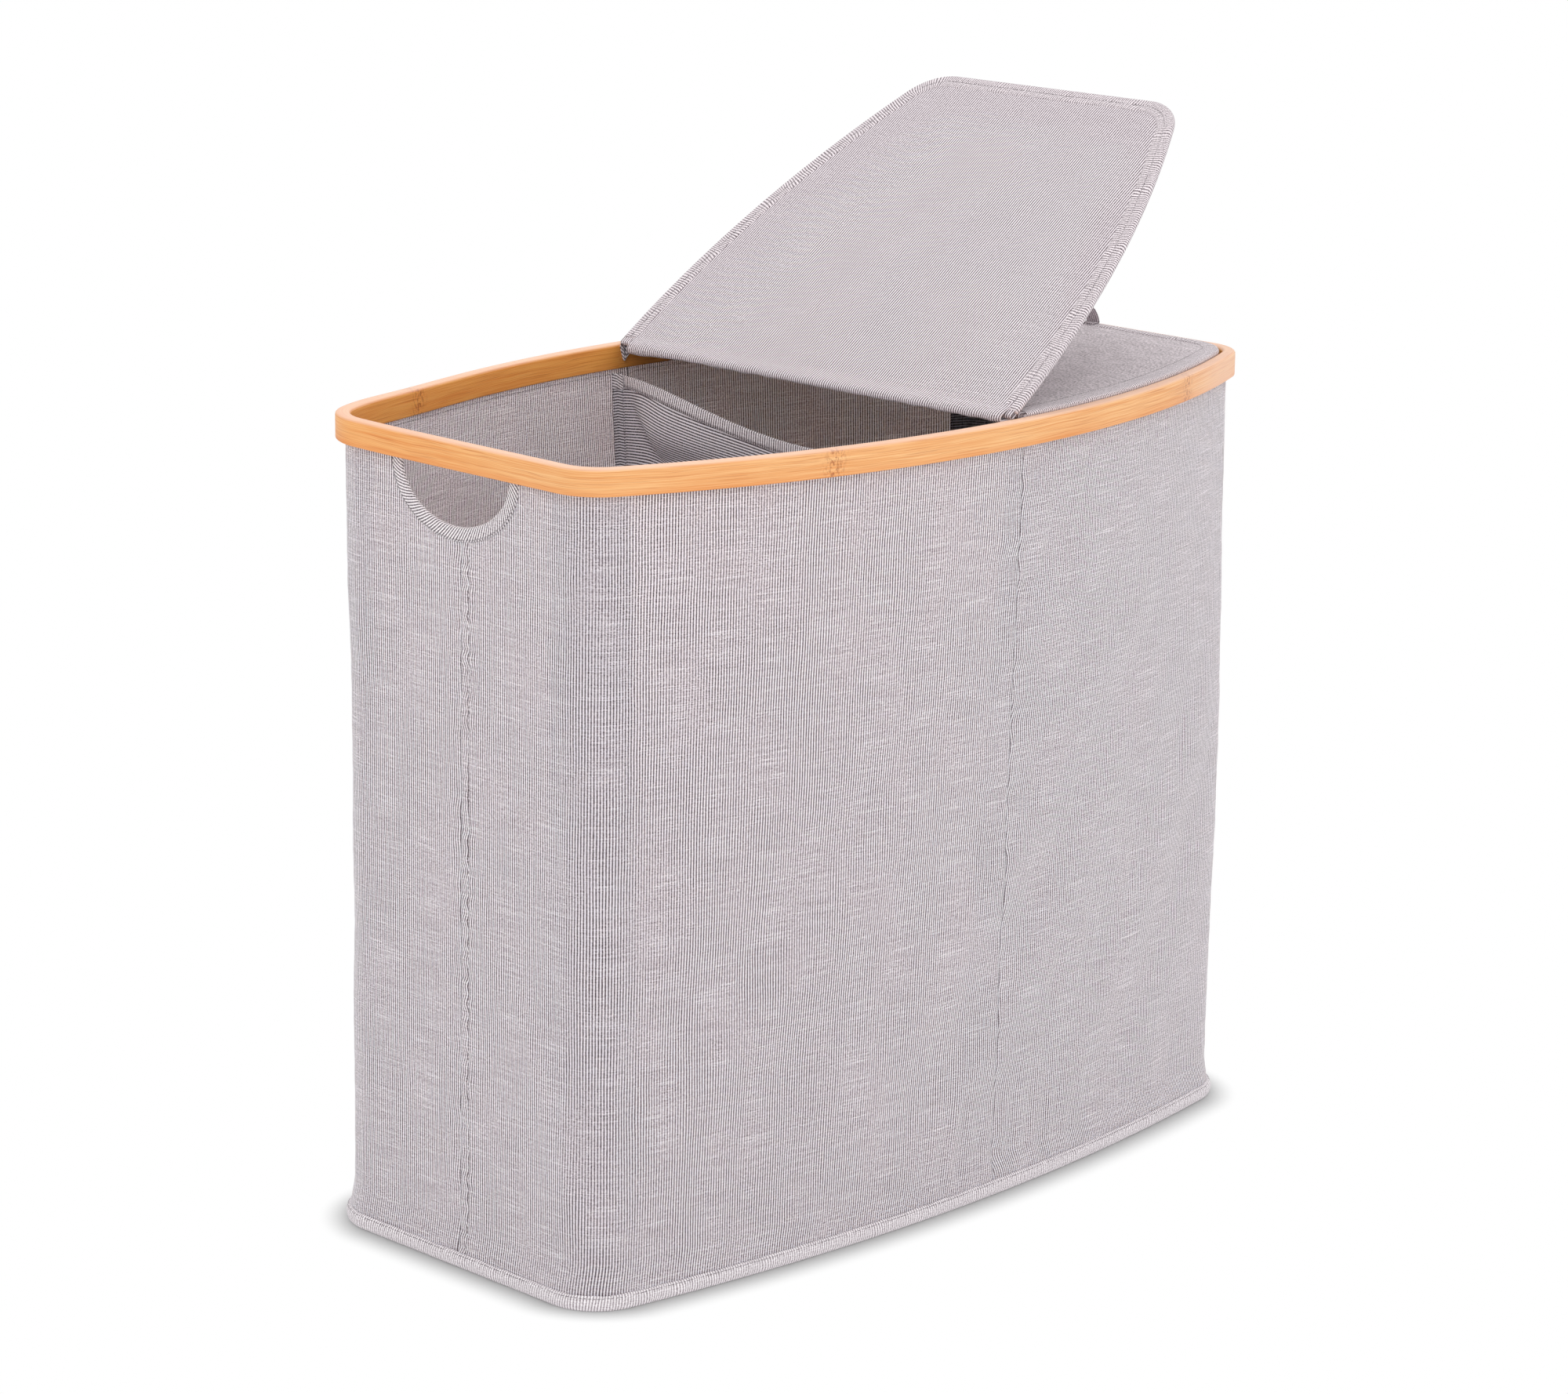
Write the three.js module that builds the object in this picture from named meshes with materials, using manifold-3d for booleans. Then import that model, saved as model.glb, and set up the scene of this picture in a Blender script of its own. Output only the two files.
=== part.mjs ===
// Laundry hamper with two bins: a bent bamboo rim, striped cloth walls on corner rods,
// a sewn divider across the middle and two bound half lids hinged on a cloth strip.
// Millimetres, +Z up. Origin on the floor under the middle. The long way runs along X,
// the carrying holes are in the short ends, and the lid of the -X bin stands open.

import * as THREE from 'three';
import { mergeVertices } from 'three/addons/utils/BufferGeometryUtils.js';
import Module from 'manifold-3d';

const wasm = await Module();
wasm.setup();

// Overall plan and height
const rimTop = 580;
const rimLength = 675;
const rimWidth = 406;
const rimSideRadius = 754;
const rimCornerRadius = 38;
const baseLength = 678;
const baseWidth = 332;
const baseSideRadius = 1720;
const baseCornerRadius = 42;

// Clearances
const seatGap = 0.3;
const overrun = 20;

// Bamboo rim band
const rimHeight = 18.7;
const rimThickness = 10;
const rimTopRound = 2.5;
const rimBottomRound = 1;
const grooveInset = 6.2;
const grooveDepth = 8.6;

// Cloth walls
const wallThickness = 1.6;
const wallFootInset = 2;
const pinchDepth = 2.8;
const pinchHeight = 24;
const sideSeamTop = 10;
const sideSeamFoot = 36;

// Bound hem on the floor
const hemHeight = 9;
const hemThickness = 5;
const hemRound = 2.2;

// Bottom cloth and the two stiff base boards
const bottomClothThickness = 1.2;
const boardThickness = 3;
const boardSideGap = 1.4;

// Carrying holes
const holeHalfWidth = 54;
const holeDepth = 42.5;
const holeTapeWidth = 10;
const tapeThickness = 0.5;

// Divider
const dividerThickness = 1.6;
const dividerDip = 27;
const dividerTopGap = 5;
const dividerFoldDepth = 5;
const dividerTapeWidth = 8;
const flangeWidth = 11;
const flangeThickness = 0.8;

// Corner rods and their sleeves
const rodDiameter = 4;
const sleeveThickness = 0.8;
const sleeveTopGap = 6;

// Lids
const lidBoardThickness = 2.4;
const lidClothThickness = 0.5;
const lidTapeWidth = 13.5;
const lidProud = 3.2;
const lidCornerRadius = 36;
const lidEndGap = 3;
const lidLap = 9;
const lidTapeStart = 6;

// Folds of the two lids: the fold edge and the turning line, outwards from the middle, and the
// height of that line over the lid's middle plane
const folds = {
  left: { signX: -1, edge: 5, axisOffset: 2.2, axisRise: -1.2, open: THREE.MathUtils.degToRad(144.4) },
  right: { signX: 1, edge: 9.3, axisOffset: 9.3, axisRise: 2.1, open: 0 },
};

// Hinge strip across the middle
const hingeStripThickness = 1.6;
const hingeStripDrop = 1.75;
const hingeTailLength = 12;

// Pull tabs
const tabWidth = 12;
const tabHeight = 12;
const tabFoot = 8;
const tabThickness = 1.4;
const tabLean = THREE.MathUtils.degToRad(14);
const tabEdgeInset = 2.4;

// Facet counts
const sideSteps = 10;
const cornerSteps = 6;
const endSteps = 2;
const roundSteps = 4;

// Places worked out from the sizes
const rimBottom = rimTop - rimHeight;
const wallInset = grooveInset + seatGap;
const wallFoot = hemHeight + seatGap;
const wallTop = rimBottom + grooveDepth - seatGap;
const boardBottom = bottomClothThickness + seatGap;
const boardTop = boardBottom + boardThickness;
const lidHalfStack = lidBoardThickness / 2 + seatGap + lidClothThickness;
const lidHalfEdge = lidHalfStack + seatGap + tapeThickness;
const lidMiddle = rimTop + lidProud - lidHalfEdge;
const hingeStripTop = lidMiddle - hingeStripDrop;
const seatDistance = rimTopRound + lidHalfEdge + seatGap;
const seatRise = lidMiddle - (rimTop - rimTopRound);
const lidInset = rimThickness - rimTopRound - lidHalfEdge
  + Math.sqrt(seatDistance ** 2 - seatRise ** 2);

// Plan outlines: bowed long sides, straight ends and rounded corners. start is the X at
// which a side begins and stop is the Y at which an end stops.
function outlineOf(length, width, sideRadius, cornerRadius) {
  return { a: length / 2, b: width / 2, side: sideRadius, corner: cornerRadius, start: 0, stop: 0 };
}

function inset(outline, by) {
  return {
    ...outline,
    a: outline.a - by,
    b: outline.b - by,
    side: outline.side - by,
    corner: outline.corner - by,
  };
}

const rimOutline = outlineOf(rimLength, rimWidth, rimSideRadius, rimCornerRadius);
const baseOutline = outlineOf(baseLength, baseWidth, baseSideRadius, baseCornerRadius);

// The pinch draws the cloth in just above the hem, and is 1 above that.
function pinchAt(z) {
  return THREE.MathUtils.smoothstep(z, wallFoot, wallFoot + pinchHeight);
}

// A point on the wall at a depth from its outer face. Straight lines run from each station of
// the foot to the same station of the rim, so rods and sleeves lie along them.
function wallPoint(station, depth, z, pinch = pinchAt(z), seams = {}) {
  const share = Math.min((z - wallFoot) / (rimBottom - wallFoot), 1);
  const top = { ...inset(rimOutline, wallInset + depth), start: seams.top ?? 0, stop: seams.end ?? 0 };
  const drawn = wallFootInset + pinchDepth * pinch;
  const foot = { ...inset(baseOutline, drawn + depth), start: seams.foot ?? 0, stop: seams.end ?? 0 };
  return outlinePoint(foot, station).lerp(outlinePoint(top, station), share);
}

const midSide = { part: 'side', t: 0 };
const midEnd = { part: 'end', t: 1 };
const midCorner = { part: 'corner', t: 0.5 };

// Stations along one quarter of an outline, from the middle of a side to the middle of an end.
function quarterStations(sides = sideSteps, corners = cornerSteps, ends = endSteps) {
  const list = [];
  for (let i = 0; i <= sides; i += 1) list.push({ part: 'side', t: i / sides });
  for (let i = 1; i <= corners; i += 1) list.push({ part: 'corner', t: i / corners });
  for (let i = 1; i <= ends; i += 1) list.push({ part: 'end', t: i / ends });
  return list;
}

function signed(stations, signX, signY) {
  return stations.map((station) => ({ ...station, signX, signY }));
}

// A whole loop, and the U-shaped path round one lid from fold corner to fold corner.
function loopStations() {
  const quarter = quarterStations();
  const back = [...quarter].reverse().slice(1);
  return [
    ...signed(quarter, 1, 1),
    ...signed(back, 1, -1),
    ...signed(quarter.slice(1), -1, -1),
    ...signed(back.slice(0, -1), -1, 1),
  ];
}

function lidStations(signX) {
  const quarter = quarterStations();
  const back = [...quarter].reverse().slice(1);
  return [...signed(quarter, signX, 1), ...signed(back, signX, -1)];
}

function outlinePoint(outline, station) {
  const turn = Math.asin((outline.a - outline.corner) / (outline.side - outline.corner));
  const reach = outline.side - outline.corner;
  const centreX = reach * Math.sin(turn);
  const centreY = outline.b - outline.side + reach * Math.cos(turn);
  let x = outline.a;
  let y = centreY + (outline.stop - centreY) * station.t;
  if (station.part === 'side') {
    const first = Math.asin(outline.start / outline.side);
    const angle = first + (turn - first) * station.t;
    x = outline.side * Math.sin(angle);
    y = outline.b - outline.side * (1 - Math.cos(angle));
  }
  if (station.part === 'corner') {
    const angle = turn + (Math.PI / 2 - turn) * station.t;
    x = centreX + outline.corner * Math.sin(angle);
    y = centreY + outline.corner * Math.cos(angle);
  }
  return new THREE.Vector2(x * (station.signX ?? 1), y * (station.signY ?? 1));
}

// Solids from rings of points. Each ring is one closed section, and the rings are joined in
// order; the ends are capped unless the path closes on itself.
function solidFromRings(rings, section, closedPath) {
  const count = section.length;
  const positions = rings.flatMap((ring) => ring.flatMap((p) => [p.x, p.y, p.z]));
  const index = [];
  const last = closedPath ? rings.length : rings.length - 1;
  for (let i = 0; i < last; i += 1) {
    const next = (i + 1) % rings.length;
    for (let j = 0; j < count; j += 1) {
      const k = (j + 1) % count;
      const corners = [i * count + j, i * count + k, next * count + k, next * count + j];
      index.push(corners[0], corners[1], corners[2], corners[0], corners[2], corners[3]);
    }
  }
  if (!closedPath) {
    const faces = THREE.ShapeUtils.triangulateShape(section, []);
    const flip = THREE.ShapeUtils.isClockWise(section) ? -1 : 1;
    const far = (rings.length - 1) * count;
    for (const face of faces) {
      const near = flip > 0 ? [face[0], face[2], face[1]] : face;
      index.push(near[0], near[1], near[2]);
      index.push(far + near[0], far + near[2], far + near[1]);
    }
  }
  return outwards(positions, index);
}

function outwards(positions, index) {
  let volume = 0;
  const at = (i) => new THREE.Vector3().fromArray(positions, i * 3);
  for (let i = 0; i < index.length; i += 3) {
    volume += at(index[i]).dot(at(index[i + 1]).cross(at(index[i + 2])));
  }
  const faces = [...index];
  if (volume < 0) {
    for (let i = 0; i < faces.length; i += 3) [faces[i + 1], faces[i + 2]] = [faces[i + 2], faces[i + 1]];
  }
  const geometry = new THREE.BufferGeometry();
  geometry.setAttribute('position', new THREE.Float32BufferAttribute(positions, 3));
  geometry.setIndex(faces);
  return geometry;
}

// A section of [depth, height] points carried along stations, each placed by pointAt.
function sweep(stations, section, pointAt, closedPath) {
  const flat = section.map(([d, z]) => new THREE.Vector2(d, z));
  const rings = stations.map((station) => section.map(([d, z]) => {
    const p = pointAt(station, d, z);
    return new THREE.Vector3(p.x, p.y, z);
  }));
  return solidFromRings(rings, flat, closedPath);
}

// The same along an outline, with the depth measured in from it.
function sweepAlong(stations, section, outline, closedPath) {
  return sweep(stations, section, (station, d) => outlinePoint(inset(outline, d), station), closedPath);
}

// A sheet with thickness: two grids of points over (u, v), joined round their edges.
function sheet(stepsU, stepsV, outerAt, innerAt) {
  const rings = [];
  const section = [];
  for (let j = 0; j <= stepsV; j += 1) section.push(new THREE.Vector2(0, j / stepsV));
  for (let j = stepsV; j >= 0; j -= 1) section.push(new THREE.Vector2(1, j / stepsV));
  for (let i = 0; i <= stepsU; i += 1) {
    rings.push(section.map((s) => (s.x === 0 ? outerAt : innerAt)(i / stepsU, s.y)));
  }
  return solidFromRings(rings, section, false);
}

// Arc points of a rounded edge in a section, angles in quarter turns.
function arc(centreD, centreZ, radius, fromQuarter, toQuarter, steps = roundSteps) {
  const points = [];
  for (let i = 0; i <= steps; i += 1) {
    const angle = (fromQuarter + ((toQuarter - fromQuarter) * i) / steps) * (Math.PI / 2);
    points.push([centreD + radius * Math.cos(angle), centreZ + radius * Math.sin(angle)]);
  }
  return points;
}

// Joining and cutting
function toSolid(geometry) {
  const bare = geometry.clone();
  bare.deleteAttribute('normal');
  bare.deleteAttribute('uv');
  const welded = mergeVertices(bare);
  return new wasm.Manifold(new wasm.Mesh({
    numProp: 3,
    vertProperties: new Float32Array(welded.attributes.position.array),
    triVerts: new Uint32Array(welded.index.array),
  }));
}

function toGeometry(solid) {
  const mesh = solid.getMesh();
  const geometry = new THREE.BufferGeometry();
  geometry.setAttribute('position', new THREE.BufferAttribute(new Float32Array(mesh.vertProperties), 3));
  geometry.setIndex(new THREE.BufferAttribute(new Uint32Array(mesh.triVerts), 1));
  return geometry;
}

function plate(points, bottom, thickness) {
  const geometry = new THREE.ExtrudeGeometry(new THREE.Shape(points), { depth: thickness, bevelEnabled: false });
  return geometry.translate(0, 0, bottom);
}

// A profile drawn in (X, Z) and carried along Y, centred on Y = 0.
function alongY(points, width) {
  const profile = new THREE.Shape(points.map(([x, z]) => new THREE.Vector2(x, z)));
  const geometry = new THREE.ExtrudeGeometry(profile, { depth: width, bevelEnabled: false });
  return geometry.rotateX(Math.PI / 2).translate(0, width / 2, 0);
}

// A profile drawn in (Y, Z) and carried along X from a start.
function alongX(points, start, length) {
  const profile = new THREE.Shape(points.map(([y, z]) => new THREE.Vector2(y, z)));
  const geometry = new THREE.ExtrudeGeometry(profile, { depth: length, bevelEnabled: false });
  const axes = new THREE.Matrix4().makeBasis(
    new THREE.Vector3(0, 1, 0),
    new THREE.Vector3(0, 0, 1),
    new THREE.Vector3(1, 0, 0),
  );
  return geometry.applyMatrix4(axes).translate(start, 0, 0);
}

// Rim: one bent band with eased edges and a groove underneath for the cloth
function rimBand() {
  const groove = [grooveInset, grooveInset + wallThickness + 2 * seatGap];
  const section = [
    ...arc(rimBottomRound, rimBottom + rimBottomRound, rimBottomRound, 3, 2, 2),
    ...arc(rimTopRound, rimTop - rimTopRound, rimTopRound, 2, 1),
    ...arc(rimThickness - rimTopRound, rimTop - rimTopRound, rimTopRound, 1, 0),
    ...arc(rimThickness - rimBottomRound, rimBottom + rimBottomRound, rimBottomRound, 0, -1, 2),
    [groove[1], rimBottom],
    [groove[1], rimBottom + grooveDepth],
    [groove[0], rimBottom + grooveDepth],
    [groove[0], rimBottom],
  ];
  return sweepAlong(loopStations(), section, rimOutline, true);
}

// Cloth wall panels: each runs from the side seam round a corner to the seam at mid end. The
// side seams lean, since the panels are cut alike and the foot is shorter round than the top.
function flareHeights() {
  const flareShares = [0, 0.2, 0.45, 0.7, 1];
  return flareShares.map((share) => wallFoot + pinchHeight * share);
}

function wallHeights() {
  const riseShares = [0.5, 1];
  const pinchTop = wallFoot + pinchHeight;
  const high = riseShares.map((share) => pinchTop + (rimBottom - pinchTop) * share);
  return [...flareHeights(), ...high, wallTop];
}

function holeCutter(signX) {
  const edge = tapeThickness + seatGap;
  const points = [];
  const steps = cornerSteps * 4;
  for (let i = 0; i <= steps; i += 1) {
    const angle = (Math.PI * i) / steps;
    const y = (holeHalfWidth + edge) * Math.cos(angle);
    points.push([y, rimBottom - seatGap - (holeDepth + edge) * Math.sin(angle)]);
  }
  points.push([-holeHalfWidth - edge, wallTop + overrun], [holeHalfWidth + edge, wallTop + overrun]);
  const depth = 2 * overrun;
  return toSolid(alongX(points, signX * wallPoint(midEnd, 0, rimBottom).x - depth / 2, depth));
}

function wallPanel(signX, signY) {
  const heights = wallHeights();
  const section = [
    ...heights.map((z) => [0, z]),
    ...[...heights].reverse().map((z) => [wallThickness, z]),
  ];
  const half = seatGap / 2;
  const seams = { top: half + signX * sideSeamTop, foot: half + signX * sideSeamFoot, end: half };
  const at = (station, d, z) => wallPoint(station, d, z, pinchAt(z), seams);
  const cloth = toSolid(sweep(signed(quarterStations(), signX, signY), section, at, false));
  return toGeometry(cloth.subtract(holeCutter(signX)));
}

// Bias tape folded over the edge of a carrying hole
function holeTape(signX) {
  const skin = seatGap + tapeThickness;
  const mouth = tapeThickness / 2;
  const section = [
    [holeTapeWidth, -skin],
    [mouth, -skin],
    [0, -seatGap],
    [0, wallThickness + seatGap],
    [mouth, wallThickness + skin],
    [holeTapeWidth, wallThickness + skin],
    [holeTapeWidth, wallThickness + seatGap],
    [tapeThickness, wallThickness + seatGap],
    [tapeThickness, -seatGap],
    [holeTapeWidth, -seatGap],
  ];
  const flat = section.map(([q, d]) => new THREE.Vector2(q, d));
  const steps = cornerSteps * 4;
  const rings = [];
  for (let i = 0; i <= steps; i += 1) {
    const angle = (Math.PI * i) / steps;
    const normal = new THREE.Vector2(Math.cos(angle) / holeHalfWidth, Math.sin(angle) / holeDepth);
    normal.normalize();
    rings.push(section.map(([q, d]) => {
      const y = holeHalfWidth * Math.cos(angle) + normal.x * q;
      const z = rimBottom - seatGap - holeDepth * Math.sin(angle) - normal.y * q;
      return new THREE.Vector3(signX * wallPoint(midEnd, d, z).x, y, z);
    }));
  }
  return solidFromRings(rings, flat, false);
}

// Bound hem standing on the floor round the foot of the walls
function hemBinding() {
  const section = [
    [hemThickness, 0],
    ...arc(hemRound, hemRound, hemRound, 3, 2, 3),
    ...arc(hemRound, hemHeight - hemRound, hemRound, 2, 1, 3),
    [hemThickness, hemHeight],
  ];
  return sweepAlong(loopStations(), section, baseOutline, true);
}

function bottomCloth() {
  const edge = inset(baseOutline, hemThickness + seatGap);
  return plate(loopStations().map((s) => outlinePoint(edge, s)), 0, bottomClothThickness);
}

// Stiff boards on the bottom cloth, one for each bin, with the divider's foot between them
function baseBoard(signX) {
  const edge = inset(baseOutline, hemThickness + boardSideGap);
  edge.start = dividerThickness / 2 + boardSideGap;
  return plate(lidStations(signX).map((s) => outlinePoint(edge, s)), boardBottom, boardThickness);
}

// Divider: its top edge dips towards the middle and its cloth hangs in soft folds
function dividerReach(z) {
  return wallPoint(midSide, wallThickness + seatGap, z, 1).y;
}

function dividerTopAt(yShare) {
  return rimBottom - dividerTopGap - (dividerDip * (1 + Math.cos(Math.PI * yShare))) / 2;
}

function dividerFold(yShare, zShare) {
  const still = (1 - yShare ** 4) * zShare ** 2;
  return dividerFoldDepth * still * Math.sin(1.5 * Math.PI * yShare + Math.PI * zShare / 2);
}

function dividerPoint(yShare, zShare, across) {
  const z = boardBottom + (dividerTopAt(yShare) - boardBottom) * zShare;
  return new THREE.Vector3(dividerFold(yShare, zShare) + across, yShare * dividerReach(z), z);
}

function dividerPanel() {
  const half = dividerThickness / 2;
  const at = (across) => (u, v) => dividerPoint(2 * u - 1, v, across);
  return sheet(5 * cornerSteps, 2 * cornerSteps, at(-half), at(half));
}

function dividerTape() {
  const cavity = dividerThickness / 2 + seatGap;
  const half = cavity + tapeThickness;
  const crown = seatGap + tapeThickness;
  const section = [
    [-half, crown - dividerTapeWidth],
    [-half, seatGap],
    [-cavity, crown],
    [cavity, crown],
    [half, seatGap],
    [half, crown - dividerTapeWidth],
    [cavity, crown - dividerTapeWidth],
    [cavity, seatGap],
    [-cavity, seatGap],
    [-cavity, crown - dividerTapeWidth],
  ];
  const flat = section.map(([x, z]) => new THREE.Vector2(x, z));
  const steps = 5 * cornerSteps;
  const endGap = 3 * seatGap + flangeThickness;
  const rings = [];
  for (let i = 0; i <= steps; i += 1) {
    const yShare = (2 * i) / steps - 1;
    rings.push(section.map(([x, z]) => {
      const edge = dividerPoint(yShare, 1, x);
      const reach = dividerReach(edge.z);
      return new THREE.Vector3(edge.x, (edge.y * (reach - endGap)) / reach, edge.z + z);
    }));
  }
  return solidFromRings(rings, flat, false);
}

// Flange of the divider, sewn flat on the wall
function dividerFlange(signY) {
  const near = dividerThickness / 2 + seatGap + tapeThickness + seatGap;
  const back = wallThickness + 2 * seatGap;
  const heights = [...flareHeights(), rimBottom - dividerTopGap];
  const edgeAt = (depth) => heights.map((z) => [signY * wallPoint(midSide, depth, z).y, z]);
  const profile = [...edgeAt(back), ...edgeAt(back + flangeThickness).reverse()];
  return alongX(profile, -near - flangeWidth, flangeWidth);
}

// Corner rods that hold the rim up, and the cloth sleeves round them
const rodInset = wallThickness + seatGap + rodDiameter / 2;

function cornerRod(signX, signY) {
  const at = (z) => {
    const p = wallPoint({ ...midCorner, signX, signY }, rodInset, z, 1);
    return new THREE.Vector3(p.x, p.y, z);
  };
  const round = new THREE.Shape().absarc(0, 0, rodDiameter / 2, 0, 2 * Math.PI, false);
  const path = new THREE.LineCurve3(at(boardTop + seatGap), at(rimBottom - seatGap));
  return new THREE.ExtrudeGeometry(round, { steps: 1, extrudePath: path, curveSegments: cornerSteps });
}

function cornerSleeve(signX, signY) {
  const pocket = rodDiameter + 2 * seatGap;
  const top = rimBottom - sleeveTopGap;
  const at = (extra) => (u, v) => {
    const z = wallFoot + (top - wallFoot) * v;
    const swell = pocket * Math.sin(Math.PI * u) ** 2;
    const depth = wallThickness + seatGap + swell + extra;
    const p = wallPoint({ part: 'corner', t: u, signX, signY }, depth, z, 1);
    return new THREE.Vector3(p.x, p.y, z);
  };
  return sheet(2 * cornerSteps, 2, at(0), at(sleeveThickness));
}

// Lids. Each is drawn closed, with its middle plane at height zero. Along the sides it rests on
// the rim's inner edge, and its free end stays clear of the rim.
const lidOutline = {
  ...inset(rimOutline, lidInset),
  a: rimOutline.a - rimThickness - lidEndGap,
  corner: lidCornerRadius,
};

function lidPlan(fold) {
  const edge = { ...inset(lidOutline, lidHalfEdge), start: fold.edge };
  const points = lidStations(fold.signX).map((s) => outlinePoint(edge, s));
  return toSolid(plate(points, -lidHalfEdge, 2 * lidHalfEdge));
}

function trimmed(profile, fold) {
  const points = profile.map(([x, z]) => [fold.signX * (fold.edge + x), z]);
  const long = toSolid(outwardCopy(alongY(points, rimWidth)));
  return toGeometry(long.intersect(lidPlan(fold)));
}

// Mirroring a profile turns its faces inwards, so the copy is turned out again
function outwardCopy(geometry) {
  const plain = geometry.index ? geometry.toNonIndexed() : geometry;
  const positions = [...plain.attributes.position.array];
  const index = positions.filter((_, i) => i % 3 === 0).map((_, i) => i);
  return outwards(positions, index);
}

function lidBoard(fold) {
  const half = lidBoardThickness / 2;
  return trimmed([[lidHalfStack, -half], [rimLength, -half], [rimLength, half], [lidHalfStack, half]], fold);
}

function lidUnderCloth(fold) {
  const outer = lidHalfStack;
  const inner = lidHalfStack - lidClothThickness;
  const profile = [
    [lidLap, outer],
    ...arc(lidHalfStack, 0, outer, 1, 3, 2 * roundSteps),
    [rimLength, -outer],
    [rimLength, -inner],
    ...arc(lidHalfStack, 0, inner, 3, 1, 2 * roundSteps),
    [lidLap, inner],
  ];
  return trimmed(profile, fold);
}

function lidTopCloth(fold) {
  const outer = lidHalfStack;
  const inner = lidHalfStack - lidClothThickness;
  const start = lidLap + seatGap;
  return trimmed([[start, inner], [rimLength, inner], [rimLength, outer], [start, outer]], fold);
}

function lidBinding(fold) {
  const cavity = lidHalfEdge - tapeThickness;
  const section = [
    [lidTapeWidth, lidHalfEdge],
    ...arc(lidHalfEdge, 0, lidHalfEdge, 1, 3, 2 * roundSteps),
    [lidTapeWidth, -lidHalfEdge],
    [lidTapeWidth, -cavity],
    ...arc(lidHalfEdge, 0, cavity, 3, 1, 2 * roundSteps),
    [lidTapeWidth, cavity],
  ];
  const path = { ...lidOutline, start: fold.edge + lidTapeStart };
  return sweepAlong(lidStations(fold.signX), section, path, false);
}

// Pull tab: a doubled tape sewn on the top of the binding at the middle of the free end
function lidTab(fold) {
  const floor = lidHalfEdge + seatGap;
  const edge = lidOutline.a - tabEdgeInset;
  const half = tabThickness / 2;
  const rise = new THREE.Vector2(-Math.sin(tabLean), Math.cos(tabLean));
  const side = new THREE.Vector2(rise.y, -rise.x);
  const root = new THREE.Vector2(edge - tabThickness, floor);
  const tip = root.clone().addScaledVector(rise, tabHeight - half);
  const crown = [];
  for (let i = 0; i <= roundSteps; i += 1) {
    const angle = (Math.PI * i) / roundSteps;
    const p = tip.clone().addScaledVector(side, half * Math.cos(angle));
    p.addScaledVector(rise, half * Math.sin(angle));
    crown.push([p.x, p.y]);
  }
  const points = [
    [edge - tabFoot, floor],
    [edge, floor],
    ...crown,
    [root.x - half, floor + tabThickness],
    [edge - tabFoot, floor + tabThickness],
  ];
  return outwardCopy(alongY(points.map(([x, z]) => [fold.signX * x, z]), tabWidth));
}

// Cloth strip across the middle that both lids fold on, with its ends turned down at the rim
function hingeStrip() {
  const start = seatGap - folds.left.edge;
  const width = folds.right.edge - seatGap - start;
  const reach = rimOutline.b - rimThickness - seatGap;
  const low = hingeStripTop - hingeStripThickness;
  const points = [
    [-reach, hingeStripTop],
    [-reach, hingeStripTop - hingeTailLength],
    [-reach + hingeStripThickness, hingeStripTop - hingeTailLength],
    [-reach + hingeStripThickness, low],
    [reach - hingeStripThickness, low],
    [reach - hingeStripThickness, hingeStripTop - hingeTailLength],
    [reach, hingeStripTop - hingeTailLength],
    [reach, hingeStripTop],
  ];
  return outwardCopy(alongX(points, start, width));
}

// Finishes
function cloth(color) {
  return new THREE.MeshStandardMaterial({ color, roughness: 0.9, metalness: 0 });
}

const finishes = {
  bamboo: () => new THREE.MeshStandardMaterial({ color: '#e3b27c', roughness: 0.5, metalness: 0 }),
  striped: () => cloth('#bdb4b8'),
  tape: () => cloth('#c9c2c4'),
  heathered: () => cloth('#9a9194'),
  lining: () => cloth('#8d8588'),
  board: () => new THREE.MeshStandardMaterial({ color: '#8a7358', roughness: 0.85, metalness: 0 }),
  steel: () => new THREE.MeshStandardMaterial({ color: '#a9abae', roughness: 0.35, metalness: 1 }),
};

function piece(parent, name, geometry, finish) {
  const mesh = new THREE.Mesh(geometry, finishes[finish]());
  mesh.name = name;
  parent.add(mesh);
}

// The hamper body
const hamper = new THREE.Group();
piece(hamper, 'rim_band', rimBand(), 'bamboo');
piece(hamper, 'hem_binding', hemBinding(), 'tape');
piece(hamper, 'bottom_cloth', bottomCloth(), 'striped');
piece(hamper, 'divider_panel', dividerPanel(), 'striped');
piece(hamper, 'divider_top_binding', dividerTape(), 'tape');
piece(hamper, 'hinge_strip', hingeStrip(), 'tape');

const ends = Object.entries(folds);
const sides = [['front', -1], ['rear', 1]];
for (const [sideName, signY] of sides) {
  piece(hamper, `divider_flange_${sideName}`, dividerFlange(signY), 'striped');
  for (const [endName, { signX }] of ends) {
    piece(hamper, `wall_${sideName}_${endName}`, wallPanel(signX, signY), 'striped');
    piece(hamper, `corner_rod_${sideName}_${endName}`, cornerRod(signX, signY), 'steel');
    piece(hamper, `corner_sleeve_${sideName}_${endName}`, cornerSleeve(signX, signY), 'striped');
  }
}

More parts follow.
